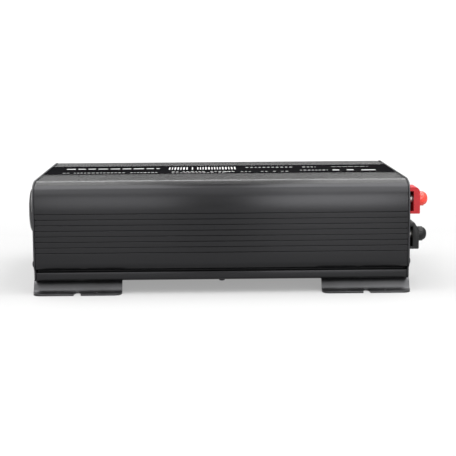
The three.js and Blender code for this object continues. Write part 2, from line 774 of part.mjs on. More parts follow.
function terminalStud({ y, bottomZ }) {
  const axisZ = bottomZ + knobAxisZ;
  const headX = panelInnerX - 9;
  const neckX = headX + 4.5;
  const shoulderX = pocket.x0 + gap;
  const shoulderEndX = shoulderX + studShoulderLength;
  const tipX = blockFaceX + 0.8;
  return latheX([
    [headX, 0], [headX, studHeadRadius], [neckX, studHeadRadius], [neckX, studRadius],
    [shoulderX, studRadius], [shoulderX, studShoulderRadius], [shoulderEndX, studShoulderRadius],
    [shoulderEndX, studRadius], [tipX - 0.6, studRadius], [tipX, studRadius - 0.6], [tipX, 0],
  ], y, axisZ, 14);
}

function ringX(y, z, inner, outer, x0, x1, segments) {
  return latheX([[x0, inner], [x0, outer], [x1, outer], [x1, inner], [x0, inner]], y, z, segments);
}

// Domed cap nut: a shank through the block, a rim and a dome outside it.
function terminalKnob({ y, bottomZ }) {
  const shankEnd = washer.x1 + gap;
  const rim = blockFaceX + gap;
  const bore = studRadius + gap;
  const boreEnd = blockFaceX + 2;
  const domeX = rim + knobRimLength;
  const points = [
    [shankEnd, bore], [shankEnd, knobShankRadius], [rim, knobShankRadius], [rim, knobRimRadius - 0.3],
    [rim + 0.4, knobRimRadius], [domeX - 0.5, knobRimRadius], [domeX, knobDomeRadius],
  ];
  for (let i = 1; i <= 5; i += 1) {
    const angle = (i / 5) * (Math.PI / 2);
    points.push([domeX + (knobEndX - domeX) * Math.sin(angle), knobDomeRadius * Math.cos(angle)]);
  }
  points.push([boreEnd, 0], [boreEnd, bore], [shankEnd, bore]);
  return latheX(points, y, bottomZ + knobAxisZ, 20);
}

function buildTerminals() {
  for (const terminal of terminals) {
    const { tag, y, bottomZ } = terminal;
    const axisZ = bottomZ + knobAxisZ;
    const positive = tag === 'positive';
    addPart(`${tag}_terminal_block`, terminalBlock(terminal), positive ? redPlastic : blackPlastic);
    addPart(`${tag}_stud`, terminalStud(terminal), nickel);
    addPart(
      `${tag}_washer`,
      ringX(y, axisZ, studRadius + gap, washer.radius, washer.x0, washer.x1, 18),
      nickel,
    );
    addPart(`${tag}_knob`, terminalKnob(terminal), positive ? redKnobPlastic : blackPlastic);
  }
}

function hexagon(acrossFlats) {
  const radius = acrossFlats / Math.sqrt(3);
  return new THREE.Shape([0, 1, 2, 3, 4, 5].map((i) => new THREE.Vector2(
    radius * Math.cos((i * Math.PI) / 3),
    radius * Math.sin((i * Math.PI) / 3),
  )));
}

function buildEarthTerminal() {
  const { y, z } = earthCentre;
  const headX = panelInnerX - 4.5;
  const headEndX = panelInnerX - gap;
  const tipX = halfLength + earthStudProud;
  const stud = latheX([
    [headX, 0], [headX, 5], [headEndX, 5], [headEndX, earthStudRadius],
    [tipX - 0.6, earthStudRadius], [tipX, earthStudRadius - 0.6], [tipX, 0],
  ], y, z, 16);
  addPart('earth_stud', stud, zincSteel);
  const bore = earthStudRadius + gap;
  const washerX = halfLength + gap;
  const washerEndX = washerX + earthWasher.thickness;
  addPart('earth_washer', ringX(y, z, bore, earthWasher.radius, washerX, washerEndX, 18), zincSteel);
  const nutX = washerEndX + gap;
  const shape = hexagon(earthNutWidth);
  shape.holes.push(circle(0, 0, bore));
  addPart('earth_nut', extrudeX(shape, nutX, nutX + earthNutHeight, 6).translate(0, y, z), zincSteel);
}

// ---- fan ------------------------------------------------------------------------------

const fanFrontX = panelInnerX - gap;
const fanRearX = fanFrontX - fanDepth;

function fanFrame() {
  const { y, z } = fanCentre;
  const half = fanSize / 2;
  const outline = roundedRectangle(y - half, y + half, z - half, z + half, 4);
  outline.holes.push(circle(y, z, fanBoreRadius));
  const screwAt = fanScrewSpacing / 2;
  for (const dy of [-screwAt, screwAt]) {
    for (const dz of [-screwAt, screwAt]) outline.holes.push(circle(y + dy, z + dz, fanScrewHoleRadius));
  }
  const duct = extrudeX(outline, fanRearX, fanFrontX, 12);
  const plateFrontX = fanRearX + 2.5;
  const motorPlate = rodX(y, z, fanHubRadius + 0.5, fanRearX, plateFrontX, 28);
  const axle = rodX(y, z, 1.5, fanRearX + 1, fanRearX + 18, 10);
  const strut = box(fanRearX, plateFrontX, fanHubRadius - 1.5, fanBoreRadius + 1, -1.5, 1.5);
  const struts = [0, 1, 2, 3].map((i) => strut.clone()
    .rotateX((i * Math.PI) / 2 + Math.PI / 4)
    .translate(0, y, z));
  return join(duct, motorPlate, axle, ...struts);
}

function fanRotor() {
  const { y, z } = fanCentre;
  const hubRear = fanRearX + 3.3;
  const hubFront = fanFrontX - 2;
  const hub = ringX(0, 0, 1.8, fanHubRadius, hubRear, hubFront, 28);
  const middle = (hubRear + hubFront) / 2;
  const blades = Array.from({ length: bladeCount }, (_, i) => box(-8, 8, -0.8, 0.8, 14, bladeTipRadius)
    .rotateZ(THREE.MathUtils.degToRad(bladePitch))
    .translate(middle, 0, 0)
    .rotateX((i * 2 * Math.PI) / bladeCount));
  return join(hub, ...blades).translate(0, y, z);
}

// Wire finger guard: rings on a cross whose ends are eyes over the fan's screw holes.
function fanGuard() {
  const { y, z } = fanCentre;
  const wire = guardWire;
  const plane = halfLength + gap + wire;
  const rings = guardRings.map((radius) => latheX([
    [plane - wire, radius], [plane, radius + wire], [plane + wire, radius], [plane, radius - wire],
    [plane - wire, radius],
  ], 0, 0, 28));
  const reach = (fanScrewSpacing / 2) * Math.SQRT2;
  const bars = [1, -1].map((side) => box(plane - 0.7, plane + 0.7, -reach + 2, reach - 2, -0.9, 0.9)
    .rotateX((side * Math.PI) / 4));
  const eyes = [0, 1, 2, 3].map((i) => ringX(reach, 0, 2.1, 3.8, plane - 0.7, plane + 0.7, 8)
    .rotateX((i * Math.PI) / 2 + Math.PI / 4));
  return join(...rings, ...bars, ...eyes).translate(0, y, z);
}

function buildFan() {
  addPart('fan_frame', fanFrame(), blackPlastic);
  addPart('fan_rotor', fanRotor(), blackPlastic);
  addPart('fan_guard', fanGuard(), zincSteel);
}

// ---- electronics inside -----------------------------------------------------------------

const boardSeatZ = boardTopZ + gap; // what stands on the main board

function buildBoards() {
  addPart('main_board', box(
    -boardHalfLength, boardHalfLength, -boardHalfWidth, boardHalfWidth, boardBottomZ, boardTopZ,
  ), boardGreen);
  addPart('control_board', box(-70, 30, 58, 59.6, boardSeatZ, boardTopZ + controlBoardHeight), boardGreen);
}

// A finned bar that carries the power transistors' heat to the side of the case.
function heatSink(side) {
  const [backY, rootY, finY] = [115.8, 111, 103];
  const [bottomZ, topZ] = [24, 66];
  const [finCount, finPitch, finThickness] = [4, 9, 3];
  const half = new THREE.Shape();
  half.moveTo(side * backY, bottomZ);
  half.lineTo(side * backY, topZ);
  half.lineTo(side * rootY, topZ);
  for (let i = 0; i < finCount; i += 1) {
    const finTop = topZ - 4 - i * finPitch;
    half.lineTo(side * rootY, finTop);
    half.lineTo(side * finY, finTop);
    half.lineTo(side * finY, finTop - finThickness);
    half.lineTo(side * rootY, finTop - finThickness);
  }
  half.lineTo(side * rootY, bottomZ);
  half.closePath();
  return extrudeX(half, -120, 120);
}

function buildHeatSinks() {
  addPart('heat_sink_front', heatSink(-1), aluminium);
  addPart('heat_sink_rear', heatSink(1), aluminium);
}

// Two E-shaped ferrite halves as one core, with the winding round its middle leg.
function buildTransformer() {
  const [x0, x1] = [10, 74];
  const [y0, y1] = [-46, -16];
  const [z0, z1] = [boardSeatZ, boardSeatZ + 60];
  const yoke = 10;
  const window = 14;
  const core = cut(
    box(x0, x1, y0, y1, z0, z1),
    box(x0 + yoke, x0 + yoke + window, y0 - 1, y1 + 1, z0 + yoke, z1 - yoke),
    box(x1 - yoke - window, x1 - yoke, y0 - 1, y1 + 1, z0 + yoke, z1 - yoke),
  );
  addPart('transformer_core', core, ferrite);
  const clear = yoke + 1;
  const legX = yoke + window - gap;
  const winding = cut(
    box(x0 + clear, x1 - clear, y0 - clear, y1 + clear, z0 + clear, z1 - clear),
    box(x0 + legX, x1 - legX, y0 - gap, y1 + gap, z0, z1),
  );
  addPart('transformer_winding', winding, amberTape);
}

function buildSmallComponents() {
  const seat = boardSeatZ;
  const [bore, outside, height] = [10, 24, 22];
  const choke = latheZ([
    [seat, bore], [seat, outside], [seat + height, outside], [seat + height, bore], [seat, bore],
  ], -100, 40, 32);
  addPart('output_choke', choke, copper);
  const can = (x, y, radius, tall) => latheZ([
    [seat, 0], [seat, radius], [seat + tall - 1, radius], [seat + tall, radius - 1], [seat + tall, 0],
  ], x, y, 24);
  addPart('input_capacitor', can(105, 20, 12.5, 45), capacitorBlue);
  addPart('bus_capacitor', can(-60, -35, 15, 50), capacitorBlue);
  const [positive] = terminals;
  const fuses = [0, 1, 2, 3].map((i) => box(
    98 + i * 6, 101.5 + i * 6, positive.y - 8, positive.y + 8, seat + 8, seat + 20,
  ));
  const holder = box(95, 122, positive.y - 11, positive.y + 11, seat, seat + 10);
  addPart('fuse_block', join(holder, ...fuses), blackPlastic);
}

// Copper strips from the terminal studs down to the board.
function buildBusBars() {
  const plateX = panelInnerX - 3.1;
  const seat = boardSeatZ;
  const routes = {
    positive: [[plateX, 81], [plateX, 58], [130, 58], [130, seat]],
    negative: [[plateX, 44], [plateX, seat + 1], [138, seat + 1]],
  };
  for (const { tag, y, bottomZ } of terminals) {
    const outline = bentStrip(routes[tag], 3, busBarThickness);
    const strip = extrudeY(outline, y - busBarHalfWidth, y + busBarHalfWidth, 2);
    const hole = rodX(y, bottomZ + knobAxisZ, studRadius + gap, plateX - 3, plateX + 3, 16);
    addPart(`${tag}_bus_bar`, cut(strip, hole), copper);
  }
}

// ---- assembly -----------------------------------------------------------------------------

buildUpperShell();
buildBasePlate();
buildTopLabel();
buildFeet();
buildAcPanel();
buildDcPanel();
buildPanelScrews();
buildBaseScrews();
buildOutlets();
buildSwitch();
buildPorts();
buildLamps();
buildTerminals();
buildEarthTerminal();
buildFan();
buildBoards();
buildHeatSinks();
buildTransformer();
buildSmallComponents();
buildBusBars();

export default inverter;
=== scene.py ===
import json
import math
import random

import bmesh
import bpy
from mathutils import Matrix, Vector


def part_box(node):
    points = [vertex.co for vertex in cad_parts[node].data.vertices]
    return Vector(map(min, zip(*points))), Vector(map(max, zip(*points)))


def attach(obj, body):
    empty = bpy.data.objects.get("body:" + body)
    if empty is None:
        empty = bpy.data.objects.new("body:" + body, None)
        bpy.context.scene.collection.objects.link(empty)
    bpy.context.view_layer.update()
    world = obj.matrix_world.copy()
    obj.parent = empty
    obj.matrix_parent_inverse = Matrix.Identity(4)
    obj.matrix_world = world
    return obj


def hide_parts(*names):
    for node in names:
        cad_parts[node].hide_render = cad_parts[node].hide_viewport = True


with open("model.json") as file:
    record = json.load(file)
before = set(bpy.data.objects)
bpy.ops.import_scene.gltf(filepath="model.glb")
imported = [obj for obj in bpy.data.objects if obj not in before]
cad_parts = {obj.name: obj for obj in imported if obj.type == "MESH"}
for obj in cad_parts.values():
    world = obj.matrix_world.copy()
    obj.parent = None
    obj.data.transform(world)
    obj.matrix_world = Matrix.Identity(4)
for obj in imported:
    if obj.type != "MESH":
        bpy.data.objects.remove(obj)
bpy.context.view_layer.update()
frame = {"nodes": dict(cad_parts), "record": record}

# ---- the shared frame -------------------------------------------------------
# Shapes are drawn in millimetres in the case's own frame: x from the middle of
# the case, y from its middle plane, z above its underside. to_row() turns them
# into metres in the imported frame.

MM = 0.001
shell_low, shell_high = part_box("upper_shell")
tray_low, tray_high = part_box("base_plate")
CASE_X = (shell_low[0] + shell_high[0]) / 2
UNDERSIDE = tray_low[2]
to_row = Matrix.Translation((CASE_X, 0, UNDERSIDE)) @ Matrix.Scale(MM, 4)

SHELL_END = (shell_high[0] - CASE_X) / MM
HALF_LENGTH = (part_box("dc_end_panel")[1][0] - CASE_X) / MM
PANEL_INNER = (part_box("dc_end_panel")[0][0] - CASE_X) / MM
HEIGHT = (shell_high[2] - UNDERSIDE) / MM
HALF_WIDTH = shell_high[1] / MM
LIP_Y = tray_high[1] / MM
FLOOR_Z = -UNDERSIDE / MM


def centre(node):
    """The middle of a CAD node's box, in the case's millimetres."""
    low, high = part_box(node)
    return to_row.inverted() @ ((Vector(low) + Vector(high)) / 2)


def span(node, axis):
    """Lowest and highest coordinate of a CAD node along one axis, in millimetres."""
    low, high = (to_row.inverted() @ Vector(corner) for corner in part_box(node))
    return low[axis], high[axis]


# ---- materials --------------------------------------------------------------


def node_material(name, color, rough, metallic=0.0, spec=0.5):
    material = bpy.data.materials.new(name)
    material.use_nodes = True
    shader = material.node_tree.nodes["Principled BSDF"]
    shader.inputs["Base Color"].default_value = (*color, 1)
    shader.inputs["Roughness"].default_value = rough
    shader.inputs["Metallic"].default_value = metallic
    shader.inputs["Specular IOR Level"].default_value = spec
    return material, material.node_tree, shader


def grain(tree, scale, detail, stretch=(1, 1, 1)):
    """Noise in the object's metres; a small stretch value draws it out along that axis."""
    nodes, links = tree.nodes, tree.links
    coords = nodes.new("ShaderNodeTexCoord")
    mapping = nodes.new("ShaderNodeMapping")
    mapping.inputs["Scale"].default_value = stretch
    noise = nodes.new("ShaderNodeTexNoise")
    noise.inputs["Scale"].default_value = scale
    noise.inputs["Detail"].default_value = detail
    noise.inputs["Roughness"].default_value = 0.6
    links.new(coords.outputs["Object"], mapping.inputs["Vector"])
    links.new(mapping.outputs["Vector"], noise.inputs["Vector"])
    return noise


def map_range(tree, from_min, from_max):
    node = tree.nodes.new("ShaderNodeMapRange")
    node.inputs["From Min"].default_value = from_min
    node.inputs["From Max"].default_value = from_max
    return node


def vary(tree, source, shader, low, high):
    """Lets a grain move the roughness between two values."""
    ramp = map_range(tree, 0.3, 0.7)
    ramp.inputs["To Min"].default_value = low
    ramp.inputs["To Max"].default_value = high
    tree.links.new(source.outputs["Fac"], ramp.inputs["Value"])
    tree.links.new(ramp.outputs["Result"], shader.inputs["Roughness"])


def tint(tree, source, shader, color, spread):
    """Lets a grain darken and lighten a colour by a share of it."""
    ramp = tree.nodes.new("ShaderNodeValToRGB")
    for element, place, share in zip(ramp.color_ramp.elements, (0.35, 0.65), (1 - spread, 1 + spread)):
        element.position = place
        element.color = (*(c * share for c in color), 1)
    tree.links.new(source.outputs["Fac"], ramp.inputs["Fac"])
    tree.links.new(ramp.outputs["Color"], shader.inputs["Base Color"])


def bump(tree, source, shader, strength, distance):
    """Lets a grain press the surface in and out by a distance in metres."""
    node = tree.nodes.new("ShaderNodeBump")
    node.inputs["Strength"].default_value = strength
    node.inputs["Distance"].default_value = distance
    tree.links.new(source.outputs["Fac"], node.inputs["Height"])
    tree.links.new(node.outputs["Normal"], shader.inputs["Normal"])


def extruded_metal(name, color, rough):
    """Anodised extrusion: faint die lines along X over a fine etched grain."""
    material, tree, shader = node_material(name, color, rough, metallic=0.9)
    lines = grain(tree, 900, 3, stretch=(0.004, 1, 1))
    fine = grain(tree, 2600, 2)
    tint(tree, lines, shader, color, 0.03)
    vary(tree, lines, shader, rough - 0.01, rough + 0.02)
    bump(tree, fine, shader, 0.02, 0.00002)
    return material


def coated_metal(name, color, rough, metallic=0.5, strength=0.25):
    """Powder coat or satin paint on sheet: a fine pebbled skin with slight wear."""
    material, tree, shader = node_material(name, color, rough, metallic)
    pebble = grain(tree, 1500, 3)
    clouds = grain(tree, 35, 4)
    tint(tree, clouds, shader, color, 0.14)
    vary(tree, clouds, shader, rough - 0.05, rough + 0.07)
    bump(tree, pebble, shader, strength, 0.00006)
    return material


def moulded(name, color, rough, spec=0.5):
    """Injection-moulded plastic: a fine spark-eroded texture and slight flow marks."""
    material, tree, shader = node_material(name, color, rough, spec=spec)
    skin = grain(tree, 1100, 2)
    flow = grain(tree, 60, 3, stretch=(1, 1, 0.35))
    tint(tree, flow, shader, color, 0.06)
    vary(tree, flow, shader, rough - 0.04, rough + 0.05)
    bump(tree, skin, shader, 0.12, 0.00005)
    return material


def plated(name, color, rough, stretch=(1, 1, 1)):
    """Plated or bare metal: turned or drawn marks and light tarnish."""
    material, tree, shader = node_material(name, color, rough, metallic=1.0)
    marks = grain(tree, 1800, 3, stretch=stretch)
    tarnish = grain(tree, 120, 4)
    tint(tree, tarnish, shader, color, 0.09)
    vary(tree, marks, shader, rough - 0.06, rough + 0.08)
    bump(tree, marks, shader, 0.08, 0.00003)
    return material


def film(name, color, rough, spec=0.5):
    """Printed film: smooth, with very shallow ripples and fine handling marks."""
    material, tree, shader = node_material(name, color, rough, spec=spec)
    ripple = grain(tree, 55, 2)
    marks = grain(tree, 900, 4, stretch=(0.15, 1, 1))
    tint(tree, marks, shader, color, 0.1)
    vary(tree, marks, shader, rough - 0.04, rough + 0.08)
    bump(tree, ripple, shader, 0.04, 0.0002)
    return material


# Colours are linear; the number after each is its roughness.
FINISHES = {
    "black_anodised": extruded_metal("black_anodised", (0.0235, 0.0235, 0.0247), 0.24),
    "black_panel": coated_metal("black_panel", (0.020, 0.020, 0.022), 0.42),
    "grey_foot": coated_metal("grey_foot", (0.048, 0.048, 0.050), 0.40, metallic=0.85, strength=0.10),
    "label_film": film("label_film", (0.0045, 0.0045, 0.005), 0.6, spec=0.0),
    "black_plastic": moulded("black_plastic", (0.006, 0.006, 0.0064), 0.42, spec=0.24),
    "red_plastic": moulded("red_plastic", (0.36, 0.012, 0.017), 0.40, spec=0.22),
    "red_knob": moulded("red_knob", (0.66, 0.046, 0.030), 0.28, spec=0.4),
    "nickel_plate": plated("nickel_plate", (0.86, 0.85, 0.83), 0.48),
    "zinc_steel": plated("zinc_steel", (0.50, 0.51, 0.53), 0.33),
    "black_screw": plated("black_screw", (0.035, 0.035, 0.037), 0.38),
    "brass_contact": plated("brass_contact", (0.70, 0.48, 0.17), 0.28),
    "copper": plated("copper", (0.72, 0.33, 0.18), 0.32, stretch=(1, 1, 0.1)),
    "plain_aluminium": extruded_metal("plain_aluminium", (0.56, 0.57, 0.59), 0.38),
    "outlet_black": moulded("outlet_black", (0.014, 0.014, 0.015), 0.24, spec=0.7),
    "circuit_board": film("circuit_board", (0.02, 0.12, 0.05), 0.40),
    "ferrite": coated_metal("ferrite", (0.045, 0.045, 0.048), 0.65, metallic=0.1),
    "capacitor_sleeve": film("capacitor_sleeve", (0.02, 0.035, 0.095), 0.35),
    "green_lens": moulded("green_lens", (0.05, 0.50, 0.14), 0.16),
    "red_lens": moulded("red_lens", (0.62, 0.035, 0.03), 0.16),
    "print_white": film("print_white", (0.38, 0.38, 0.38), 0.6, spec=0.0),
}

# ---- making pieces ----------------------------------------------------------

THROUGH = 400  # half the length of a cutter that passes the whole case with room to spare
PAST_SHELL = 200  # the same for the shell alone
ON_AXIS = 1e-6


def loose(bm, name="draft"):
    """Turns a bmesh drawn in case millimetres into an object that isn't a piece yet."""
    bmesh.ops.recalc_face_normals(bm, faces=bm.faces)
    mesh = bpy.data.meshes.new(name)
    bm.to_mesh(mesh)
    bm.free()
    obj = bpy.data.objects.new(name, mesh)
    bpy.context.collection.objects.link(obj)
    return obj


def finish_piece(obj, name, finish, body="case", replaces=(), smooth=32):
    """Names and dresses a loose object, puts it in the frame and hangs it on a body."""
    obj.name = name
    mesh = obj.data
    mesh.transform(to_row)
    mesh.materials.clear()
    mesh.materials.append(FINISHES[finish])
    for face in mesh.polygons:
        face.use_smooth = True
    mesh.set_sharp_from_angle(angle=math.radians(smooth))
    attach(obj, body)
    if replaces:
        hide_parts(*replaces)


def piece_from(bm, name, finish, body="case", replaces=(), smooth=32):
    """Makes a piece straight from a bmesh."""
    finish_piece(loose(bm, name), name, finish, body, replaces, smooth)


def copy_of(obj):
    twin = obj.copy()
    twin.data = obj.data.copy()
    bpy.context.collection.objects.link(twin)
    return twin


def discard(obj):
    mesh = obj.data
    bpy.data.objects.remove(obj)
    bpy.data.meshes.remove(mesh)


def bake_modifiers(obj):
    """Replaces an object's mesh by what its modifiers make of it."""
    graph = bpy.context.evaluated_depsgraph_get()
    mesh = bpy.data.meshes.new_from_object(obj.evaluated_get(graph))
    obj.modifiers.clear()
    old = obj.data
    obj.data = mesh
    bpy.data.meshes.remove(old)


def combine(obj, operation, tools):
    """Booleans tool objects into obj one by one, then removes them."""
    for tool in tools:
        modifier = obj.modifiers.new("join", "BOOLEAN")
        modifier.operation = operation
        modifier.solver = "EXACT"
        modifier.object = tool
        bake_modifiers(obj)
        discard(tool)


def round_edges(obj, width, segments=2, angle=35):
    """Bevels the edges that turn by more than an angle in degrees."""
    modifier = obj.modifiers.new("edges", "BEVEL")
    modifier.width = width
    modifier.segments = segments
    modifier.limit_method = "ANGLE"
    modifier.angle_limit = math.radians(angle)
    modifier.miter_outer = "MITER_ARC"
    modifier.use_clamp_overlap = True
    bake_modifiers(obj)


def merge_into(bm, part):
    """Adds one bmesh to another and frees it."""
    scratch = bpy.data.meshes.new("scratch")
    part.to_mesh(scratch)
    part.free()
    bm.from_mesh(scratch)
    bpy.data.meshes.remove(scratch)


# ---- outlines and solids ----------------------------------------------------


def arc(cu, cv, radius, start, end, steps):
    """Points on an arc, in degrees."""
    return [
        (cu + radius * math.cos(math.radians(a)), cv + radius * math.sin(math.radians(a)))
        for a in (start + (end - start) * i / steps for i in range(steps + 1))
    ]


def around(cu, cv, radius, count):
    """Points spread evenly round a circle."""
    return arc(cu, cv, radius, 0, 360 - 360 / count, count - 1)


def rounded_box(u0, u1, v0, v1, radius, steps=6):
    return (
        arc(u1 - radius, v0 + radius, radius, -90, 0, steps)
        + arc(u1 - radius, v1 - radius, radius, 0, 90, steps)
        + arc(u0 + radius, v1 - radius, radius, 90, 180, steps)
        + arc(u0 + radius, v0 + radius, radius, 180, 270, steps)
    )


def bezier(p0, p1, p2, p3, steps):
    points = []
    for i in range(steps + 1):
        t = i / steps
        a, b, c, d = (1 - t) ** 3, 3 * (1 - t) ** 2 * t, 3 * (1 - t) * t * t, t ** 3
        points.append(tuple(a * p0[k] + b * p1[k] + c * p2[k] + d * p3[k] for k in range(2)))
    return points


def mirrored(half):
    return [(-u, v) for u, v in reversed(half)]


def bent_strip(corners, radius, thickness, steps=8):
    """Closed outline of a bent sheet whose centre line turns with rounded bends."""
    line = [Vector(corners[0])]
    for before, at, after in zip(corners, corners[1:], corners[2:]):
        at = Vector(at)
        back, on = (Vector(before) - at), (Vector(after) - at)
        reach = min(radius, back.length / 2, on.length / 2)
        start, end = at + back.normalized() * reach, at + on.normalized() * reach
        for i in range(steps + 1):
            t = i / steps
            line.append(start * (1 - t) ** 2 + at * 2 * t * (1 - t) + end * t * t)
    line.append(Vector(corners[-1]))
    sides = [[], []]
    for i, point in enumerate(line):
        along = (line[min(i + 1, len(line) - 1)] - line[max(i - 1, 0)]).normalized()
        for side, offset in zip(sides, (-thickness / 2, thickness / 2)):
            side.append((point.x - along.y * offset, point.y + along.x * offset))
    return sides[0] + sides[1][::-1]


def eased(start, end, radius, ease, drop):
    """Profile of a disc with both rims bevelled: ease is the bevel's length, drop its depth."""
    return [(start, radius - drop), (start + ease, radius), (end - ease, radius), (end, radius - drop)]


def prism(outline, low, high, axis="X"):
    """A bar from a closed outline. Along X the outline is (y, z), along Y (x, z), along Z (x, y)."""
    place = {
        "X": lambda u, v, w: (w, u, v),
        "Y": lambda u, v, w: (u, w, v),
        "Z": lambda u, v, w: (u, v, w),
    }[axis]
    bm = bmesh.new()
    ends = [[bm.verts.new(place(u, v, w)) for u, v in outline] for w in (low, high)]
    count = len(outline)
    for i in range(count):
        j = (i + 1) % count
        bm.faces.new((ends[0][i], ends[0][j], ends[1][j], ends[1][i]))
    bm.faces.new(ends[0][::-1])
    bm.faces.new(ends[1])
    return bm


def lathe(profile, at, axis="X", segments=64):
    """Revolves (along, radius) points about a line along an axis through the point at."""
    bm = bmesh.new()
    rings = []
    for along, radius in profile:
        if radius < ON_AXIS:
            rings.append([bm.verts.new((along, 0, 0))])
            continue
        rings.append([
            bm.verts.new((along, radius * math.cos(turn), radius * math.sin(turn)))
            for turn in (2 * math.pi * k / segments for k in range(segments))
        ])
    pairs = list(zip(rings, rings[1:]))
    if len(rings[0]) > 1 and len(rings[-1]) > 1:
        pairs.append((rings[-1], rings[0]))
    for one, two in pairs:
        for k in range(segments):
            n = (k + 1) % segments
            corners = [one[k % len(one)], one[n % len(one)], two[n % len(two)], two[k % len(two)]]
            face = list(dict.fromkeys(corners))
            if len(face) > 2:
                bm.faces.new(face)
    turn = {
        "X": Matrix(),
        "Y": Matrix.Rotation(math.pi / 2, 4, "Z"),
        "Z": Matrix.Rotation(-math.pi / 2, 4, "Y"),
    }[axis]
    bmesh.ops.transform(bm, matrix=Matrix.Translation(at) @ turn, verts=bm.verts)
    return bm


def cylinder(low, high, radius, at, axis="X", segments=40):
    return loose(lathe([(low, 0), (low, radius), (high, radius), (high, 0)], at, axis, segments))


def centred_block(at, half_y, half_z, radius, low, high, steps=6):
    """A bar along x with rounded corners, centred on the point at."""
    outline = rounded_box(at.y - half_y, at.y + half_y, at.z - half_z, at.z + half_z, radius, steps)
    return loose(prism(outline, low, high))


def hole(y, z, radius, segments=64):
    """A cutter for a round hole along x through the whole case."""
    return cylinder(-THROUGH, THROUGH, radius, (0, y, z), segments=segments)


def hole_at(node, radius, segments):
    at = centre(node)
    return hole(at.y, at.z, radius, segments)


# ---- case -------------------------------------------------------------------

SIDES = (("front", -1), ("rear", 1))
WALL = 2.4
GROOVES = 8
GROOVE_PITCH = 5.44
GROOVE_TOP = 66
GROOVE_WIDTH = 0.8
GROOVE_DEPTH = 0.8
GROOVE_LIP = 0.12
CREASE_Y = 100
CREASE = [(-3, 0), (-1, 0), (1.5, -0.35), (3.5, -0.81)]  # from CREASE_Y and the flat top
SHOULDER_Y = 112.5
SHOULDER_Z = HEIGHT - 2.9
SHOULDER_SWELL = 82
SHOULDER_FOOT = 67.5
BULGE_RADIUS = 7.7
BULGE_Z = 18
LEG_Y = HALF_WIDTH - BULGE_RADIUS
LEG_END = 3.0
LIP_HEIGHT = 8.5
LIP_RADIUS = 2.5
LIP_EASE_INSIDE = 0.5
LIP_EASE_OUTSIDE = 0.8
LIP_GAP = 0.3
TRAY_FLOOR = 2.5
POST_X = (-140, 0, 132)
POST_Y = 92
POST_RADIUS = 3.5
POST_EASE = 0.4
LOWER_CHANNEL = (108, 16)
UPPER_CHANNEL = (100, 83)
CHANNEL_RADIUS = 1.9
BOSS = 4  # from a screw channel's middle to the face of the boss around it


def shoulder(grown=0.0, steps=40):
    """Half of the section from the flat top over the crease to the straight side."""
    top, side = HEIGHT + grown, HALF_WIDTH + grown
    crease = bezier(*[(CREASE_Y + dy, top + dz) for dy, dz in CREASE], steps=12)
    curve = bezier(
        (SHOULDER_Y + grown * 0.4, SHOULDER_Z + grown * 0.9),
        (SHOULDER_Y + 5 + grown, SHOULDER_Z - 1.6 + grown),
        (side, SHOULDER_SWELL),
        (side, SHOULDER_FOOT),
        steps,
    )
    return crease + curve


def groove(z):
    """A groove with rounded lips and a round floor."""
    half = GROOVE_WIDTH / 2
    outer, floor = HALF_WIDTH, HALF_WIDTH - GROOVE_DEPTH
    upper = [
        (outer, z + half + GROOVE_LIP), (outer - 0.06, z + half + 0.04), (outer - 0.25, z + half - 0.05),
        (floor + 0.15, z + half - 0.15), (floor, z + half - 0.3),
    ]
    return upper + [(y, 2 * z - height) for y, height in reversed(upper)]


def shell_inside():
    """Half of the shell's inner outline, around the bosses of the screw channels."""
    low_y, low_z = LOWER_CHANNEL
    high_y, high_z = UPPER_CHANNEL
    roof = HEIGHT - WALL
    side = HALF_WIDTH - WALL - GROOVE_DEPTH
    inner = [(high_y - BOSS, roof), (high_y - BOSS, high_z - BOSS)]
    inner += [(high_y + BOSS, high_z - BOSS), (high_y + BOSS, roof - 1.8)]
    inner += bezier(
        (SHOULDER_Y - 1.2, SHOULDER_Z - 3.2),
        (SHOULDER_Y + 2.5, SHOULDER_Z - 5),
        (side, SHOULDER_SWELL - 2),
        (side, SHOULDER_FOOT - 2.5),
        steps=8,
    )
    inner += [(side, low_z + BOSS + 1), (low_y - BOSS, low_z + BOSS + 1), (low_y - BOSS, low_z - BOSS)]
    inner += [(LEG_Y - WALL, low_z - BOSS - 1), (LEG_Y - WALL, LEG_END)]
    return inner


def shell_section():
    half = shoulder()
    for i in range(GROOVES):
        half += groove(GROOVE_TOP - i * GROOVE_PITCH)
    half += arc(LEG_Y, BULGE_Z, BULGE_RADIUS, 0, -90, 14)
    half.append((LEG_Y, LEG_END))
    inner = shell_inside()
    return mirrored(half) + half + inner[::-1] + mirrored(inner)[::-1]


def screw_channels(reach):
    """Cutters for the four screw channels, in the shell and in both panels."""
    return [
        cylinder(-reach, reach, CHANNEL_RADIUS, (0, hand * y, z), segments=20)
        for _, hand in SIDES
        for y, z in (LOWER_CHANNEL, UPPER_CHANNEL)
    ]


def make_shell():
    shell = loose(prism(shell_section(), -SHELL_END, SHELL_END))
    combine(shell, "DIFFERENCE", screw_channels(PAST_SHELL))
    round_edges(shell, 0.22, 2, 50)
    finish_piece(shell, "shell_extrusion", "black_anodised", replaces=["upper_shell"], smooth=24)


def make_post(x, y):
    """A round post of the tray that stands up inside the case."""
    top = (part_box("base_plate")[1][2] - UNDERSIDE) / MM
    profile = [(1, 0), (1, POST_RADIUS), (top - POST_EASE, POST_RADIUS)]
    profile += [(top, POST_RADIUS - POST_EASE), (top, 0)]
    return loose(lathe(profile, (x, y, 0), "Z", 24))


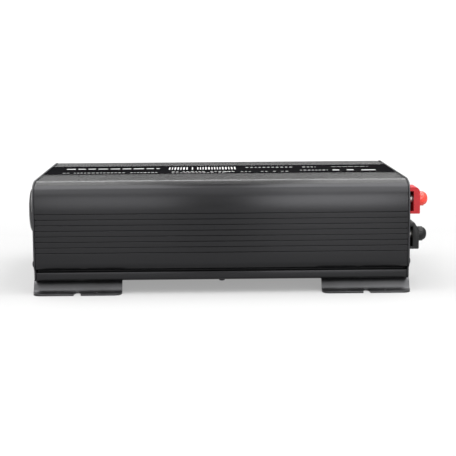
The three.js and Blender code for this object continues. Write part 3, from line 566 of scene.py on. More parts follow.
def make_tray():
    inner = LEG_Y + LIP_GAP
    half = [(inner, TRAY_FLOOR), (inner, LIP_HEIGHT - LIP_EASE_INSIDE)]
    half += arc(inner + LIP_EASE_INSIDE, LIP_HEIGHT - LIP_EASE_INSIDE, LIP_EASE_INSIDE, 180, 90, 4)
    half += arc(LIP_Y - LIP_EASE_OUTSIDE, LIP_HEIGHT - LIP_EASE_OUTSIDE, LIP_EASE_OUTSIDE, 90, 0, 5)
    half += arc(LIP_Y - LIP_RADIUS, LIP_RADIUS, LIP_RADIUS, 0, -90, 8)
    tray = loose(prism(mirrored(half) + half, -SHELL_END, SHELL_END))
    combine(tray, "UNION", [make_post(x, hand * POST_Y) for x in POST_X for _, hand in SIDES])
    round_edges(tray, 0.2, 2, 50)
    finish_piece(tray, "tray", "black_anodised", replaces=["base_plate"], smooth=24)


# ---- end panels -------------------------------------------------------------

PANEL_PROUD = 0.5
PANEL_FOOT = 3
SEAT = HALF_LENGTH + 0.3  # where the parts on an end panel sit, just off its face
VENTS = 13
VENT_FIRST = -84
VENT_PITCH = 7
VENT_HALF = 1.6
VENT_RADIUS = 1.55
VENT_LOW = 12
VENT_HIGH = 32
# Node behind each window, half its width, half its height, corner radius.
PANEL_WINDOWS = [("switch_bezel", 11, 15, 0.8), ("usb_port", 7.6, 3.9, 0.5), ("remote_port", 7.1, 6.1, 0.5)]
OUTLET_HOLE = 21.5
LAMP_HOLE = 2.8
TERMINAL_HOLE = 8
STUD_HOLE = 3.3
FAN_BORE = 38


def panel_outline():
    lip = LIP_Y + PANEL_PROUD
    radius = BULGE_RADIUS + PANEL_PROUD
    last = -math.degrees(math.acos((lip - LEG_Y) / radius))
    half = shoulder(PANEL_PROUD, 28) + arc(LEG_Y, BULGE_Z, radius, 0, last, 12)
    half += arc(lip - PANEL_FOOT, PANEL_FOOT, PANEL_FOOT, 0, -90, 8)
    return mirrored(half) + half


def make_panel(name, node, side, cutters):
    low, high = sorted((side * PANEL_INNER, side * HALF_LENGTH))
    panel = loose(prism(panel_outline(), low, high))
    combine(panel, "DIFFERENCE", screw_channels(THROUGH) + cutters)
    round_edges(panel, 0.45, 3, 40)
    finish_piece(panel, name, "black_panel", replaces=[node], smooth=30)


def vent_cutter(i):
    y = VENT_FIRST + VENT_PITCH * i
    outline = rounded_box(y - VENT_HALF, y + VENT_HALF, VENT_LOW, VENT_HIGH, VENT_RADIUS, 5)
    return loose(prism(outline, -THROUGH, THROUGH))


def make_end_panels():
    cutters = [vent_cutter(i) for i in range(VENTS)]
    cutters += [hole_at(f"outlet_{i}_housing", OUTLET_HOLE, 96) for i in (1, 2)]
    cutters += [
        centred_block(centre(node), half_y, half_z, radius, -THROUGH, THROUGH, 3)
        for node, half_y, half_z, radius in PANEL_WINDOWS
    ]
    cutters += [hole_at(node, LAMP_HOLE, 24) for node in ("power_led", "fault_led")]
    make_panel("ac_panel", "ac_end_panel", -1, cutters)
    cutters = [hole_at(f"{tag}_stud", TERMINAL_HOLE, 40) for tag in ("positive", "negative")]
    cutters += [hole_at("earth_stud", STUD_HOLE, 32), hole_at("fan_frame", FAN_BORE, 128)]
    make_panel("dc_panel", "dc_end_panel", 1, cutters)


# ---- screws -----------------------------------------------------------------

SCREW_RIM = 0.15
RECESS_HALF = 0.42
CASE_SCREW = {"head_radius": 3.3, "head_height": 2.2, "shank_radius": 1.6, "length": 15}
FAN_SCREW = {"head_radius": 2.9, "head_height": 1.9, "shank_radius": 1.9, "length": 10}
TRAY_SCREW_Y = 107


def pan_screw(head_radius, head_height, shank_radius, length):
    """A pan-head screw with a cross recess, head towards +X, seat at x = 0."""
    profile = [(-length, 0), (-length, shank_radius * 0.6), (-length + 1, shank_radius), (0, shank_radius)]
    profile += [(0, head_radius - SCREW_RIM), (SCREW_RIM, head_radius), (head_height * 0.4, head_radius)]
    for degrees in range(15, 90, 15):
        a = math.radians(degrees)
        profile.append((head_height * (0.4 + 0.6 * math.sin(a)), head_radius * math.cos(a) ** 0.8))
    profile.append((head_height, 0))
    screw = loose(lathe(profile, (0, 0, 0), segments=32))
    reach = head_radius * 0.55
    arms = [
        loose(prism([(-w, -h), (w, -h), (w, h), (-w, h)], head_height - 1.3, head_height + 1))
        for w, h in ((RECESS_HALF, reach), (reach, RECESS_HALF))
    ]
    combine(screw, "DIFFERENCE", arms)
    round_edges(screw, 0.06, 1, 50)
    return screw


def make_panel_screws(pattern):
    """Four screws on each end panel, each left at an angle of its own."""
    for end, side in (("ac", -1), ("dc", 1)):
        for level, (y, z) in (("lower", LOWER_CHANNEL), ("upper", UPPER_CHANNEL)):
            for where, hand in SIDES:
                screw = copy_of(pattern)
                turn = Matrix.Rotation(math.radians(23 * hand + 31 * side + z), 4, "X")
                face = Matrix.Rotation(math.pi if side < 0 else 0, 4, "Z")
                screw.data.transform(Matrix.Translation((side * SEAT, hand * y, z)) @ face @ turn)
                node = f"{end}_screw_{level}_{where}"
                finish_piece(screw, "panel_" + node, "black_screw", replaces=[node])


def make_screws():
    pattern = pan_screw(**CASE_SCREW)
    make_panel_screws(pattern)
    down = Matrix.Rotation(math.pi / 2, 4, "Y") @ Matrix.Scale(0.9, 4)
    for where, hand in SIDES:
        screw = copy_of(pattern)
        screw.data.transform(Matrix.Translation((0, hand * TRAY_SCREW_Y, -0.3)) @ down)
        finish_piece(screw, f"tray_screw_{where}", "black_screw", replaces=[f"base_screw_{where}"])
    discard(pattern)


# ---- feet -------------------------------------------------------------------

FOOT_THICKNESS = 2
FOOT_BEND = 4
FOOT_LINE = [(86, -1.3), (105.5, -1.3), (111.5, FLOOR_Z + 1), (122.5, FLOOR_Z + 1)]
FOOT_EDGE = 122.6
FOOT_CORNER = 9
FOOT_CORNER_Y = 112
FOOT_CUT = (FLOOR_Z - 1, FLOOR_Z + 4)  # reach of the cutters along z
NOTCH_RADIUS = 3.5
NOTCH_Y = 115.5
NOTCH_MOUTH = 130
FOOT_HOLE_RADIUS = 2.3
FOOT_HOLE_X = 19
FOOT_HOLE_Y = 117


def foot_corner(end, inward, side):
    """Cutter that rounds an outer corner of a foot's flange, from the foot's end inward."""
    edge, inner = side * FOOT_EDGE, side * FOOT_CORNER_Y
    straight = end + inward * FOOT_CORNER
    curve = bezier((end, inner), (end, side * 119), (end + inward * 3, edge), (straight, edge), steps=12)
    past_edge, past_end = edge + side * 2, end - inward * 2
    outside = [(straight, past_edge), (past_end, past_edge), (past_end, inner)]
    return loose(prism(curve + outside, *FOOT_CUT, "Z"))


def make_foot(node, side):
    x0, x1 = span(node, 0)
    middle = (x0 + x1) / 2
    sheet = bent_strip([(side * out, z) for out, z in FOOT_LINE], FOOT_BEND, FOOT_THICKNESS, 10)
    foot = loose(prism(sheet, x0, x1))
    notch = arc(middle, side * NOTCH_Y, NOTCH_RADIUS, 0, -180 * side, 12)
    mouth = [(middle + dx, side * NOTCH_MOUTH) for dx in (NOTCH_RADIUS, -NOTCH_RADIUS)]
    cutters = [foot_corner(x0, 1, side), foot_corner(x1, -1, side)]
    cutters.append(loose(prism(mouth[:1] + notch + mouth[1:], *FOOT_CUT, "Z")))
    cutters += [
        cylinder(*FOOT_CUT, FOOT_HOLE_RADIUS, (middle + dx, side * FOOT_HOLE_Y, 0), "Z", 32)
        for dx in (-FOOT_HOLE_X, FOOT_HOLE_X)
    ]
    combine(foot, "DIFFERENCE", cutters)
    round_edges(foot, 0.35, 3, 45)
    finish_piece(foot, node + "_sheet", "grey_foot", replaces=[node], smooth=30)


def make_feet():
    for where, side in SIDES:
        for hand in ("left", "right"):
            make_foot(f"foot_{where}_{hand}", side)


# ---- label ------------------------------------------------------------------

PRINT_SEED = 7
PRINT_THICKNESS = 0.06
PRINT_CORNER = 0.8
SHORTEST_BAR = 0.6
# Plain pale bars in the places of the printed rows, in millimetres:
# x start, x end, y, height, gap, bar length, share of bars left out.
PRINT_ROWS = [
    (-163, -64, 19, 7, 2.6, 11, 0.0),
    (-163, -64, -24, 3.0, 1.3, 2.6, 0.06),
    (-54, 17, 18, 30, 1.7, 1.5, 0.08),
    (-50, 14, -18, 3.2, 1.4, 2.6, 0.1),
    (-50, 6, -29, 2.6, 1.4, 2.4, 0.1),
    (28, 103, 24, 4.6, 2.0, 2.8, 0.1),
    (5, 72, -22, 3.0, 1.9, 2.4, 0.15),
    (84, 113, -12, 5, 1.8, 2.4, 0.0),
    (115, 160, 25, 2.0, 1.2, 4.6, 0.1),
    (118, 128, -12, 8, 3, 9, 0.0),
    (133, 143, -12, 8, 3, 9, 0.0),
    (148, 163, -14, 8, 3, 14, 0.0),
]


def make_label():
    (y0, y1), (z0, z1) = span("top_label", 1), span("top_label", 2)
    label = loose(prism(rounded_box(-SHELL_END, SHELL_END, y0, y1, 1.2), z0, z1, "Z"))
    round_edges(label, 0.1, 2, 60)
    finish_piece(label, "label_strip", "label_film", replaces=["top_label"])


def print_bar(x, y, length, height, z):
    """One flat bar with rounded corners."""
    corner = min(PRINT_CORNER, height / 4, length / 4)
    outline = rounded_box(x, x + length, y - height / 2, y + height / 2, corner, 3)
    return prism(outline, z, z + PRINT_THICKNESS, "Z")


def make_print():
    rng = random.Random(PRINT_SEED)
    top = span("top_label", 2)[1]
    bars = bmesh.new()
    for x0, x1, y, height, gap, width, left_out in PRINT_ROWS:
        x = x0
        while x < x1:
            length = min(width * rng.uniform(0.7, 1.25), x1 - x)
            if length > SHORTEST_BAR and rng.random() >= left_out:
                merge_into(bars, print_bar(x, y, length, height * rng.uniform(0.8, 1.0), top))
            x += length + gap
    piece_from(bars, "label_print", "print_white")


# ---- battery and earth terminals --------------------------------------------

POCKET = (HALF_LENGTH + 2.3, HALF_LENGTH + 10.9)  # cable window of a block, along x
POCKET_BELOW = 11.5
POCKET_ABOVE = 8.9
POCKET_DEPTH = 23
POCKET_CORNER = 0.8
BLOCK_EASE = 0.6
BLOCK_NECK = 7.6  # radius of the neck through the panel
BORE_START = 170
STUD_RADIUS = 3.0
SHANK_RADIUS = 4.3
SHANK_HOLE = 5.0
KNOB_RADIUS = 7.4
KNOB_RIM = 5.2
KNOB_EASE = 0.4
DOME_RADIUS = 6.4
FLUTES = 16
FLUTE_RADIUS = 0.45
THREAD_PITCH = 1.0
THREAD_DEPTH = 0.35
NUT_WIDTH = 10
# How far each block's outer upper corner is cut back across and down, and in how many steps.
CORNERS = {"positive": (4.7, 5.8, 10), "negative": (4.4, 7.3, 1)}


def block_corner(tag, x1, z1):
    """The cut-back outer upper corner: rounded on one block, a chamfer on the other."""
    across, down, steps = CORNERS[tag]
    return [(x1 - across + across * c, z1 - down + down * s) for c, s in arc(0, 0, 1, 0, 90, steps)]


def make_housing(tag, finish, at):
    """A terminal's block, with a neck through the panel and a window for the cable lug."""
    node = f"{tag}_terminal_block"
    x1 = span(node, 0)[1]
    (y0, y1), (z0, z1) = span(node, 1), span(node, 2)
    outline = [(SEAT, z0), (x1 - BLOCK_EASE, z0), (x1, z0 + BLOCK_EASE)]
    outline += block_corner(tag, x1, z1) + [(SEAT, z1)]
    housing = loose(prism(outline, y0, y1, "Y"))
    line = (0, at.y, at.z)
    pocket = rounded_box(*POCKET, at.z - POCKET_BELOW, at.z + POCKET_ABOVE, POCKET_CORNER, 5)
    cutters = [
        loose(prism(pocket, y0 - 1, y0 + POCKET_DEPTH, "Y")),
        cylinder(BORE_START, POCKET[0] + 1, STUD_HOLE, line),
        cylinder(POCKET[1] - 1, x1 + 5, SHANK_HOLE, line),
    ]
    combine(housing, "UNION", [cylinder(PANEL_INNER - 1, SEAT + 1, BLOCK_NECK, line)])
    combine(housing, "DIFFERENCE", cutters)
    round_edges(housing, 0.4, 3, 40)
    finish_piece(housing, f"{tag}_housing", finish, replaces=[node])


def make_sleeve(tag, node, at, rim):
    """The plated sleeve that a knob is moulded on; it reaches into the block."""
    low, end = span(node, 0)[0], rim + 2
    profile = [
        (low, STUD_HOLE), (low, SHANK_RADIUS - 0.2), (low + 0.2, SHANK_RADIUS),
        (end, SHANK_RADIUS), (end, STUD_HOLE),
    ]
    sleeve = lathe(profile, (0, at.y, at.z), segments=48)
    piece_from(sleeve, f"{tag}_knob_sleeve", "nickel_plate", node, [node])


def make_knob(tag, finish, at):
    """A domed cap with a fluted rim, on its sleeve."""
    node = f"{tag}_knob"
    tip = span(node, 0)[1]
    rim = span(f"{tag}_terminal_block", 0)[1] + 0.3
    dome = rim + KNOB_RIM
    make_sleeve(tag, node, at, rim)
    profile = [(rim, 0), (rim, KNOB_RADIUS - KNOB_EASE), (rim + KNOB_EASE, KNOB_RADIUS)]
    profile += [(dome - 0.7, KNOB_RADIUS), (dome - 0.2, KNOB_RADIUS - 0.3), (dome, DOME_RADIUS + 0.2)]
    profile += [
        (dome + (tip - dome) * math.sin(math.radians(a)), DOME_RADIUS * math.cos(math.radians(a)))
        for a in range(6, 90, 12)
    ]
    cap = loose(lathe(profile + [(tip, 0)], (0, at.y, at.z), segments=72))
    cutters = [cylinder(rim - 1, rim + 2.02, SHANK_RADIUS + 0.02, (0, at.y, at.z))]
    cutters += [
        cylinder(rim - 1, dome - 1.2, FLUTE_RADIUS, (0, y, z), segments=12)
        for y, z in around(at.y, at.z, KNOB_RADIUS + 0.15, FLUTES)
    ]
    combine(cap, "DIFFERENCE", cutters)
    finish_piece(cap, f"{tag}_domed_knob", finish, node, smooth=38)


def make_washer(node, name, finish, at, radius, ease, drop, segments):
    low, high = span(node, 0)
    ring = [(low, STUD_HOLE)] + eased(low, high, radius, ease, drop) + [(high, STUD_HOLE)]
    piece_from(lathe(ring, (0, at.y, at.z), segments=segments), name, finish, node, [node])


def thread(x0, x1):
    """Profile of a threaded stretch of a stud, as rings at the thread's pitch."""
    points = []
    x = x0
    while x < x1 - THREAD_PITCH:
        points += [(x, STUD_RADIUS)]
        points += [(x + THREAD_PITCH * share, STUD_RADIUS - THREAD_DEPTH) for share in (0.45, 0.55)]
        x += THREAD_PITCH
    return points + [(x1, STUD_RADIUS)]


def make_stud(tag, at):
    """A battery stud: head inside the panel, collar at the window, then thread."""
    node = f"{tag}_stud"
    low, high = span(node, 0)
    head_end, collar = low + 4.5, POCKET[0] + 0.3
    profile = [(low, 0)] + eased(low, head_end, 6.0, 0.4, 0.5) + [(head_end, STUD_RADIUS)]
    profile += [(collar, STUD_RADIUS)] + eased(collar, collar + 2.5, 4.6, 0.2, 0.2)
    profile += thread(collar + 2.5, high - 0.6) + [(high, 2.4), (high, 0)]
    stud = lathe(profile, (0, at.y, at.z), segments=48)
    piece_from(stud, f"{tag}_threaded_stud", "nickel_plate", replaces=[node])


def make_terminal(tag, block_finish, knob_finish):
    at = centre(f"{tag}_knob")
    make_housing(tag, block_finish, at)
    make_knob(tag, knob_finish, at)
    make_stud(tag, at)
    make_washer(f"{tag}_washer", f"{tag}_clamp_washer", "black_screw", at, 6.2, 0.2, 0.2, 64)


def make_nut(at):
    """A hexagon nut with both faces chamfered."""
    node = "earth_nut"
    low, high = span(node, 0)
    line = (0, at.y, at.z)
    nut = loose(prism(around(at.y, at.z, NUT_WIDTH / math.sqrt(3), 6), low, high))
    chamfer = [(low, 0)] + eased(low, high, 5.8, 0.7, 0.9) + [(high, 0)]
    combine(nut, "INTERSECT", [loose(lathe(chamfer, line, segments=64))])
    combine(nut, "DIFFERENCE", [cylinder(low - 1, high + 1, STUD_HOLE, line)])
    round_edges(nut, 0.12, 2, 50)
    finish_piece(nut, "earth_hex_nut", "zinc_steel", node, [node])


def make_earth_terminal():
    node = "earth_stud"
    at = centre(node)
    low, high = span(node, 0)
    profile = [(low, 0), (low, 4.7), (low + 0.3, 5.0)]
    profile += [(low + 4.0, 5.0), (low + 4.2, 4.7), (low + 4.2, STUD_RADIUS)]
    profile += thread(HALF_LENGTH + 1, high - 0.5) + [(high, 2.5), (high, 0)]
    stud = lathe(profile, (0, at.y, at.z), segments=40)
    piece_from(stud, "earth_threaded_stud", "zinc_steel", replaces=[node])
    make_washer("earth_washer", "earth_flat_washer", "zinc_steel", at, 6, 0.15, 0.1, 48)
    make_nut(at)


# ---- mains outlets ----------------------------------------------------------

OUTLET_RADIUS = 22.5
OUTLET_ROUND = 3.2
OUTLET_WAIST = 21.2  # inside the panel's hole
OUTLET_BACK = 15.5
RECESS_RADIUS = 19.5
RECESS_DEPTH = 17.5
PIN_Y = 9.5
PIN_HOLE = 2.7
CONTACT_HOLE = 3.6
CONTACT_RADIUS = 3.2
CONTACT_BORE = 2.4
TAIL_RADIUS = 1.2
CLIP_ARM = 17.9
CLIP_HALF = 2.9
CLIP_THICKNESS = 0.8


def outlet_profile(front, floor, rear):
    """From the middle of the back over the collar and the recess to the middle of its floor."""
    step = floor + 3
    profile = [(rear, 0), (rear, OUTLET_BACK - 0.3), (rear - 0.3, OUTLET_BACK), (step, OUTLET_BACK)]
    profile += [(step, OUTLET_WAIST), (-SEAT, OUTLET_WAIST), (-SEAT, OUTLET_RADIUS)]
    profile += arc(front + OUTLET_ROUND, OUTLET_RADIUS - OUTLET_ROUND, OUTLET_ROUND, 90, 180, 8)
    profile += [(front + 0.15, RECESS_RADIUS), (front + 0.8, RECESS_RADIUS - 0.25)]
    return profile + [(floor - 0.8, RECESS_RADIUS - 0.5), (floor, RECESS_RADIUS - 1.2), (floor, 0)]


def outlet_cutters(at, side, front, floor, rear):
    """The pin hole, the earth-clip slot and the side notch on one side of a recess."""
    bore_start = floor + 2.2
    pin = [(floor - 1, 0), (floor - 1, PIN_HOLE), (bore_start, PIN_HOLE), (bore_start, CONTACT_HOLE)]
    pin += [(rear + 1, CONTACT_HOLE), (rear + 1, 0)]
    slot_z = at.z + side * CLIP_ARM
    slot = rounded_box(at.y - 3.4, at.y + 3.4, slot_z - 0.9, slot_z + 0.9, 0.4, 3)
    notch_y = at.y + side * (RECESS_RADIUS + 0.2)
    notch = rounded_box(notch_y - 1.3, notch_y + 1.3, at.z - 2.4, at.z + 2.4, 0.6, 3)
    return [
        loose(lathe(pin, (0, at.y + side * PIN_Y, at.z), segments=36)),
        loose(prism(slot, floor - 2, floor + 6)),
        loose(prism(notch, front + 1.4, floor + 0.01)),
    ]


def make_earth_clips(i, at, front, floor, rear):
    """One sprung strap whose two arms are the earth contacts."""
    upper = [(front + 3, CLIP_ARM), (front + 7, CLIP_ARM - 1.6)]
    upper += [(floor - 2, CLIP_ARM), (rear + 1.5, CLIP_ARM)]
    line = upper + [(x, -z) for x, z in reversed(upper)]
    strip = [(x, at.z + z) for x, z in bent_strip(line, 1, CLIP_THICKNESS, 6)]
    strap = loose(prism(strip, at.y - CLIP_HALF, at.y + CLIP_HALF, "Y"))
    round_edges(strap, 0.15, 2, 60)
    finish_piece(strap, f"outlet_{i}_earth_clips", "nickel_plate", replaces=[f"outlet_{i}_earth_strap"])


def make_contact(i, kind, line, rear):
    """A sleeve for a plug's pin, with a solid tail that comes out of the back."""
    node = f"outlet_{i}_{kind}_contact"
    low, high = span(node, 0)
    end = rear - 0.8
    sleeve = [
        (low, CONTACT_BORE), (low, CONTACT_RADIUS - 0.2), (low + 0.2, CONTACT_RADIUS),
        (end, CONTACT_RADIUS), (end, CONTACT_BORE),
    ]
    tail = [(rear - 2, 0), (rear - 2, CONTACT_BORE), (end, CONTACT_BORE)]
    tail += [(end, TAIL_RADIUS), (high, TAIL_RADIUS), (high, 0)]
    contact = loose(lathe(sleeve, line, segments=32))
    combine(contact, "UNION", [loose(lathe(tail, line, segments=32))])
    finish_piece(contact, f"outlet_{i}_{kind}_sleeve", "brass_contact", replaces=[node])


def make_outlet(i):
    node = f"outlet_{i}_housing"
    at = centre(node)
    front, rear = span(node, 0)
    floor = front + RECESS_DEPTH
    body = loose(lathe(outlet_profile(front, floor, rear), (0, at.y, at.z), segments=112))
    for side in (-1, 1):
        combine(body, "DIFFERENCE", outlet_cutters(at, side, front, floor, rear))
    round_edges(body, 0.25, 2, 50)
    finish_piece(body, f"outlet_{i}_body", "outlet_black", replaces=[node], smooth=35)
    make_earth_clips(i, at, front, floor, rear)
    for kind, side in (("line", -1), ("neutral", 1)):
        make_contact(i, kind, (0, at.y + side * PIN_Y, at.z), rear)


# ---- switch, ports and lamps ------------------------------------------------

BEZEL_HALF_Y = 12.5
BEZEL_HALF_Z = 16
BEZEL_BODY_Y = 10.7
BEZEL_BODY_Z = 14.7
PIVOT_DEPTH = 2.5
LUG_RADIUS = 1.3
LUG_LENGTH = 2.6
SOCKET_RADIUS = 1.7
ROCKER_TILT = 9
ROCKER_HALF = 12.2
ROCKER_WIDTH = 17.8
MARK_FRONT = -5.75
MARK_BACK = -5.05
LENS_RADIUS = 2.5
LENS_FLANGE = 3.4
JACK_PINS = 4
JACK_PITCH = 1.5


def make_switch_surround(at, pivot):
    """The bezel and its body, with a well for the rocker and two lugs that carry it."""
    low, high = span("switch_bezel", 0)
    surround = centred_block(at, BEZEL_HALF_Y, BEZEL_HALF_Z, 1.6, low, -SEAT)
    round_edges(surround, 0.7, 3, 60)
    front, y0, y1 = -HALF_LENGTH - 1, at.y - BEZEL_BODY_Y, at.y + BEZEL_BODY_Y
    plan = [(front, y0), (high, y0), (high, y1), (front, y1)]
    combine(surround, "UNION", [loose(prism(plan, at.z - BEZEL_BODY_Z, at.z + BEZEL_BODY_Z, "Z"))])
    combine(surround, "DIFFERENCE", [centred_block(at, 9.5, 13.9, 0.6, low - 3, high - 4, 3)])
    lugs = [cylinder(y, y + LUG_LENGTH, LUG_RADIUS, pivot, "Y", 20) for y in (-9.8, 7.2)]
    combine(surround, "UNION", lugs)
    finish_piece(surround, "switch_surround", "black_plastic", replaces=["switch_bezel"])


def make_rocker(tilt):
    """A rocker with a scooped face, drawn about its pivot and then tilted."""
    node = "switch_rocker"
    scoop = bezier((-6.3, -ROCKER_HALF), (-4.4, -5), (-4.4, 5), (-6.3, ROCKER_HALF), 14)
    back = [(-1, ROCKER_HALF - 0.4), (4.5, 5), (4.5, -5), (-1, -ROCKER_HALF + 0.4)]
    rocker = loose(prism(scoop + back, -ROCKER_WIDTH / 2, ROCKER_WIDTH / 2, "Y"))
    sockets = [cylinder(y, y + 3, SOCKET_RADIUS, (0, 0, 0), "Y", 20) for y in (-10, 7)]
    combine(rocker, "DIFFERENCE", sockets)
    round_edges(rocker, 0.4, 3, 40)
    rocker.data.transform(tilt)
    finish_piece(rocker, "switch_paddle", "black_plastic", node, [node])


def make_switch_marks(tilt):
    """The usual line and ring, as thin inlays on the two halves of the rocker."""
    bar = prism(rounded_box(-0.45, 0.45, 5.5, 9.5, 0.4, 3), MARK_FRONT, MARK_BACK)
    ring = [(MARK_FRONT, 1.5), (MARK_FRONT, 2.2), (MARK_BACK, 2.2), (MARK_BACK, 1.5)]
    marks = {"switch_mark_line": bar, "switch_mark_ring": lathe(ring, (0, 0, -7.5), segments=40)}
    for name, bm in marks.items():
        bmesh.ops.transform(bm, matrix=tilt, verts=bm.verts)
        piece_from(bm, name, "print_white", "switch_rocker")


def make_switch():
    at = centre("switch_bezel")
    pivot = (-HALF_LENGTH + PIVOT_DEPTH, at.y, at.z)
    tilt = Matrix.Translation(pivot) @ Matrix.Rotation(math.radians(-ROCKER_TILT), 4, "Y")
    make_switch_surround(at, pivot)
    make_rocker(tilt)
    make_switch_marks(tilt)


def make_usb_port():
    at = centre("usb_port")
    low, high = span("usb_port", 0)
    shell = centred_block(at, 7.2, 3.6, 0.6, low, high, 4)
    combine(shell, "DIFFERENCE", [centred_block(at, 6.25, 2.55, 0.3, low - 1, high - 4, 3)])
    round_edges(shell, 0.2, 2, 50)
    finish_piece(shell, "usb_shell", "nickel_plate", replaces=["usb_port"])
    outline = rounded_box(at.y - 5.6, at.y + 5.6, at.z + 0.2, at.z + 2.0, 0.3, 3)
    tongue = loose(prism(outline, low + 1.2, high - 3.8))
    round_edges(tongue, 0.15, 2, 50)
    finish_piece(tongue, "usb_tongue", "black_plastic")


def make_remote_port():
    at = centre("remote_port")
    low, high = span("remote_port", 0)
    jack = centred_block(at, 6.75, 5.75, 0.5, low, high, 3)
    mouth = centred_block(at, 5, 3.7, 0.2, low - 1, high - 4, 2)
    latch = rounded_box(at.y - 1.8, at.y + 1.8, at.z - 5.0, at.z - 3.2, 0.2, 2)
    combine(jack, "DIFFERENCE", [mouth, loose(prism(latch, low - 1, high - 6))])
    round_edges(jack, 0.2, 2, 50)
    finish_piece(jack, "remote_jack", "black_plastic", replaces=["remote_port"])
    pins = bmesh.new()
    z0, z1 = at.z + 2.9, at.z + 3.5
    for k in range(JACK_PINS):
        y = at.y + JACK_PITCH * (k - (JACK_PINS - 1) / 2)
        outline = [(y - 0.2, z0), (y + 0.2, z0), (y + 0.2, z1), (y - 0.2, z1)]
        merge_into(pins, prism(outline, low + 2, high - 5))
    piece_from(pins, "remote_jack_contacts", "brass_contact")


def make_lamps():
    for node, finish in (("power_led", "green_lens"), ("fault_led", "red_lens")):
        at = centre(node)
        low, high = span(node, 0)
        dome = arc(low + LENS_RADIUS, 0, LENS_RADIUS, 180, 90, 9)
        flange = [(high - 1.5, LENS_RADIUS), (high - 1.5, LENS_FLANGE), (high, LENS_FLANGE), (high, 0)]
        lens = lathe((dome + flange)[::-1], (0, at.y, at.z), segments=48)
        piece_from(lens, f"{node}_lens", finish, replaces=[node])


# ---- fan --------------------------------------------------------------------

FAN_HALF = 40
FAN_BOLT = 35.75  # from the middle to a bolt, along y and along z
MOTOR_RADIUS = 17
STRUT_DEPTH = 2.5
STRUT_HALF = 1.5
SHAFT_RADIUS = 1.5
HUB_RADIUS = 16.5
HUB_BORE = 1.8
BLADES = 7
BLADE_ROOT = 14
BLADE_SPAN = 22
BLADE_RADII = (BLADE_ROOT, 18, 22, 27, 32, 36.2)
BLADE_STATIONS = (-1, -0.6, -0.2, 0.2, 0.6, 1)
BLADE_THICKNESS = 1.3
WIRE = 0.8
GUARD_RINGS = (15, 26, 37)
GUARD_STANDOFF = 0.9
EYE_RADIUS = 3.0
EYE_GAP = 2.6


def diagonals(at):
    """Matrices that lay a shape drawn along y on the four diagonals of the fan."""
    middle = Matrix.Translation((0, at.y, at.z))
    return [middle @ Matrix.Rotation(math.radians(90 * k + 45), 4, "X") for k in range(4)]


def make_fan_frame():
    at = centre("fan_frame")
    low, high = span("fan_frame", 0)
    duct = centred_block(at, FAN_HALF, FAN_HALF, 4, low, high)
    bolts = (-FAN_BOLT, FAN_BOLT)
    cutters = [hole(at.y, at.z, FAN_BORE, 96)]
    cutters += [hole(at.y + dy, at.z + dz, 2.2, 20) for dy in bolts for dz in bolts]
    combine(duct, "DIFFERENCE", cutters)
    plate, shaft = low + STRUT_DEPTH, low + 18
    motor = [(low, 0), (low, MOTOR_RADIUS), (plate, MOTOR_RADIUS)]
    motor += [(plate, SHAFT_RADIUS), (shaft, SHAFT_RADIUS), (shaft, 0)]
    parts = [loose(lathe(motor, (0, at.y, at.z), segments=56))]
    for turn in diagonals(at):
        strut = prism([(15, -STRUT_HALF), (39, -STRUT_HALF), (39, STRUT_HALF), (15, STRUT_HALF)], low, plate)
        bmesh.ops.transform(strut, matrix=turn, verts=strut.verts)
        parts.append(loose(strut))
    combine(duct, "UNION", parts)
    finish_piece(duct, "fan_duct", "black_plastic", replaces=["fan_frame"])


def blade_point(radius, across):
    """A point on a blade's mean surface: pitch falls and sweep grows with radius."""
    out = (radius - BLADE_ROOT) / BLADE_SPAN
    pitch = math.radians(52 - 20 * out)
    half = 8.6 if radius > 18 else 7.6
    sweep = math.radians(9) * out ** 1.5
    axial = across * half * math.cos(pitch)
    turn = across * half * math.sin(pitch) / radius + sweep + 0.03 * across * across
    return axial, radius * math.cos(turn), radius * math.sin(turn)


def make_blade(matrix):
    bm = bmesh.new()
    rows = [
        [bm.verts.new(blade_point(radius, across)) for across in BLADE_STATIONS]
        for radius in BLADE_RADII
    ]
    for one, two in zip(rows, rows[1:]):
        for j in range(len(one) - 1):
            bm.faces.new((one[j], one[j + 1], two[j + 1], two[j]))
    bmesh.ops.transform(bm, matrix=matrix, verts=bm.verts)
    blade = loose(bm)
    solid = blade.modifiers.new("thick", "SOLIDIFY")
    solid.thickness = BLADE_THICKNESS
    solid.offset = 0
    bake_modifiers(blade)
    return blade


def make_fan_rotor():
    at = centre("fan_rotor")
    duct_low, duct_high = span("fan_frame", 0)
    rear, front = duct_low + 3.3, duct_high - 2
    hub = [(rear, HUB_BORE), (rear, HUB_RADIUS - 0.4), (rear + 0.4, HUB_RADIUS), (front - 2, HUB_RADIUS)]
    hub += [(front - 0.6, HUB_RADIUS - 0.6), (front, HUB_RADIUS - 2), (front, HUB_BORE)]
    rotor = loose(lathe(hub, (0, at.y, at.z), segments=72))
    middle = Matrix.Translation(((rear + front) / 2, at.y, at.z))
    turns = [Matrix.Rotation(2 * math.pi * k / BLADES, 4, "X") for k in range(BLADES)]
    combine(rotor, "UNION", [make_blade(middle @ turn) for turn in turns])
    finish_piece(rotor, "fan_impeller", "black_plastic", "fan_rotor", ["fan_rotor"], smooth=40)


def make_fan_screws(at, seat, reach):
    pattern = pan_screw(**FAN_SCREW)
    for number, (y, z) in enumerate(arc(at.y, at.z, reach, 45, 315, 3), 1):
        screw = copy_of(pattern)
        screw.data.transform(Matrix.Translation((seat, y, z)))
        finish_piece(screw, f"fan_screw_{number}", "black_screw")
    discard(pattern)


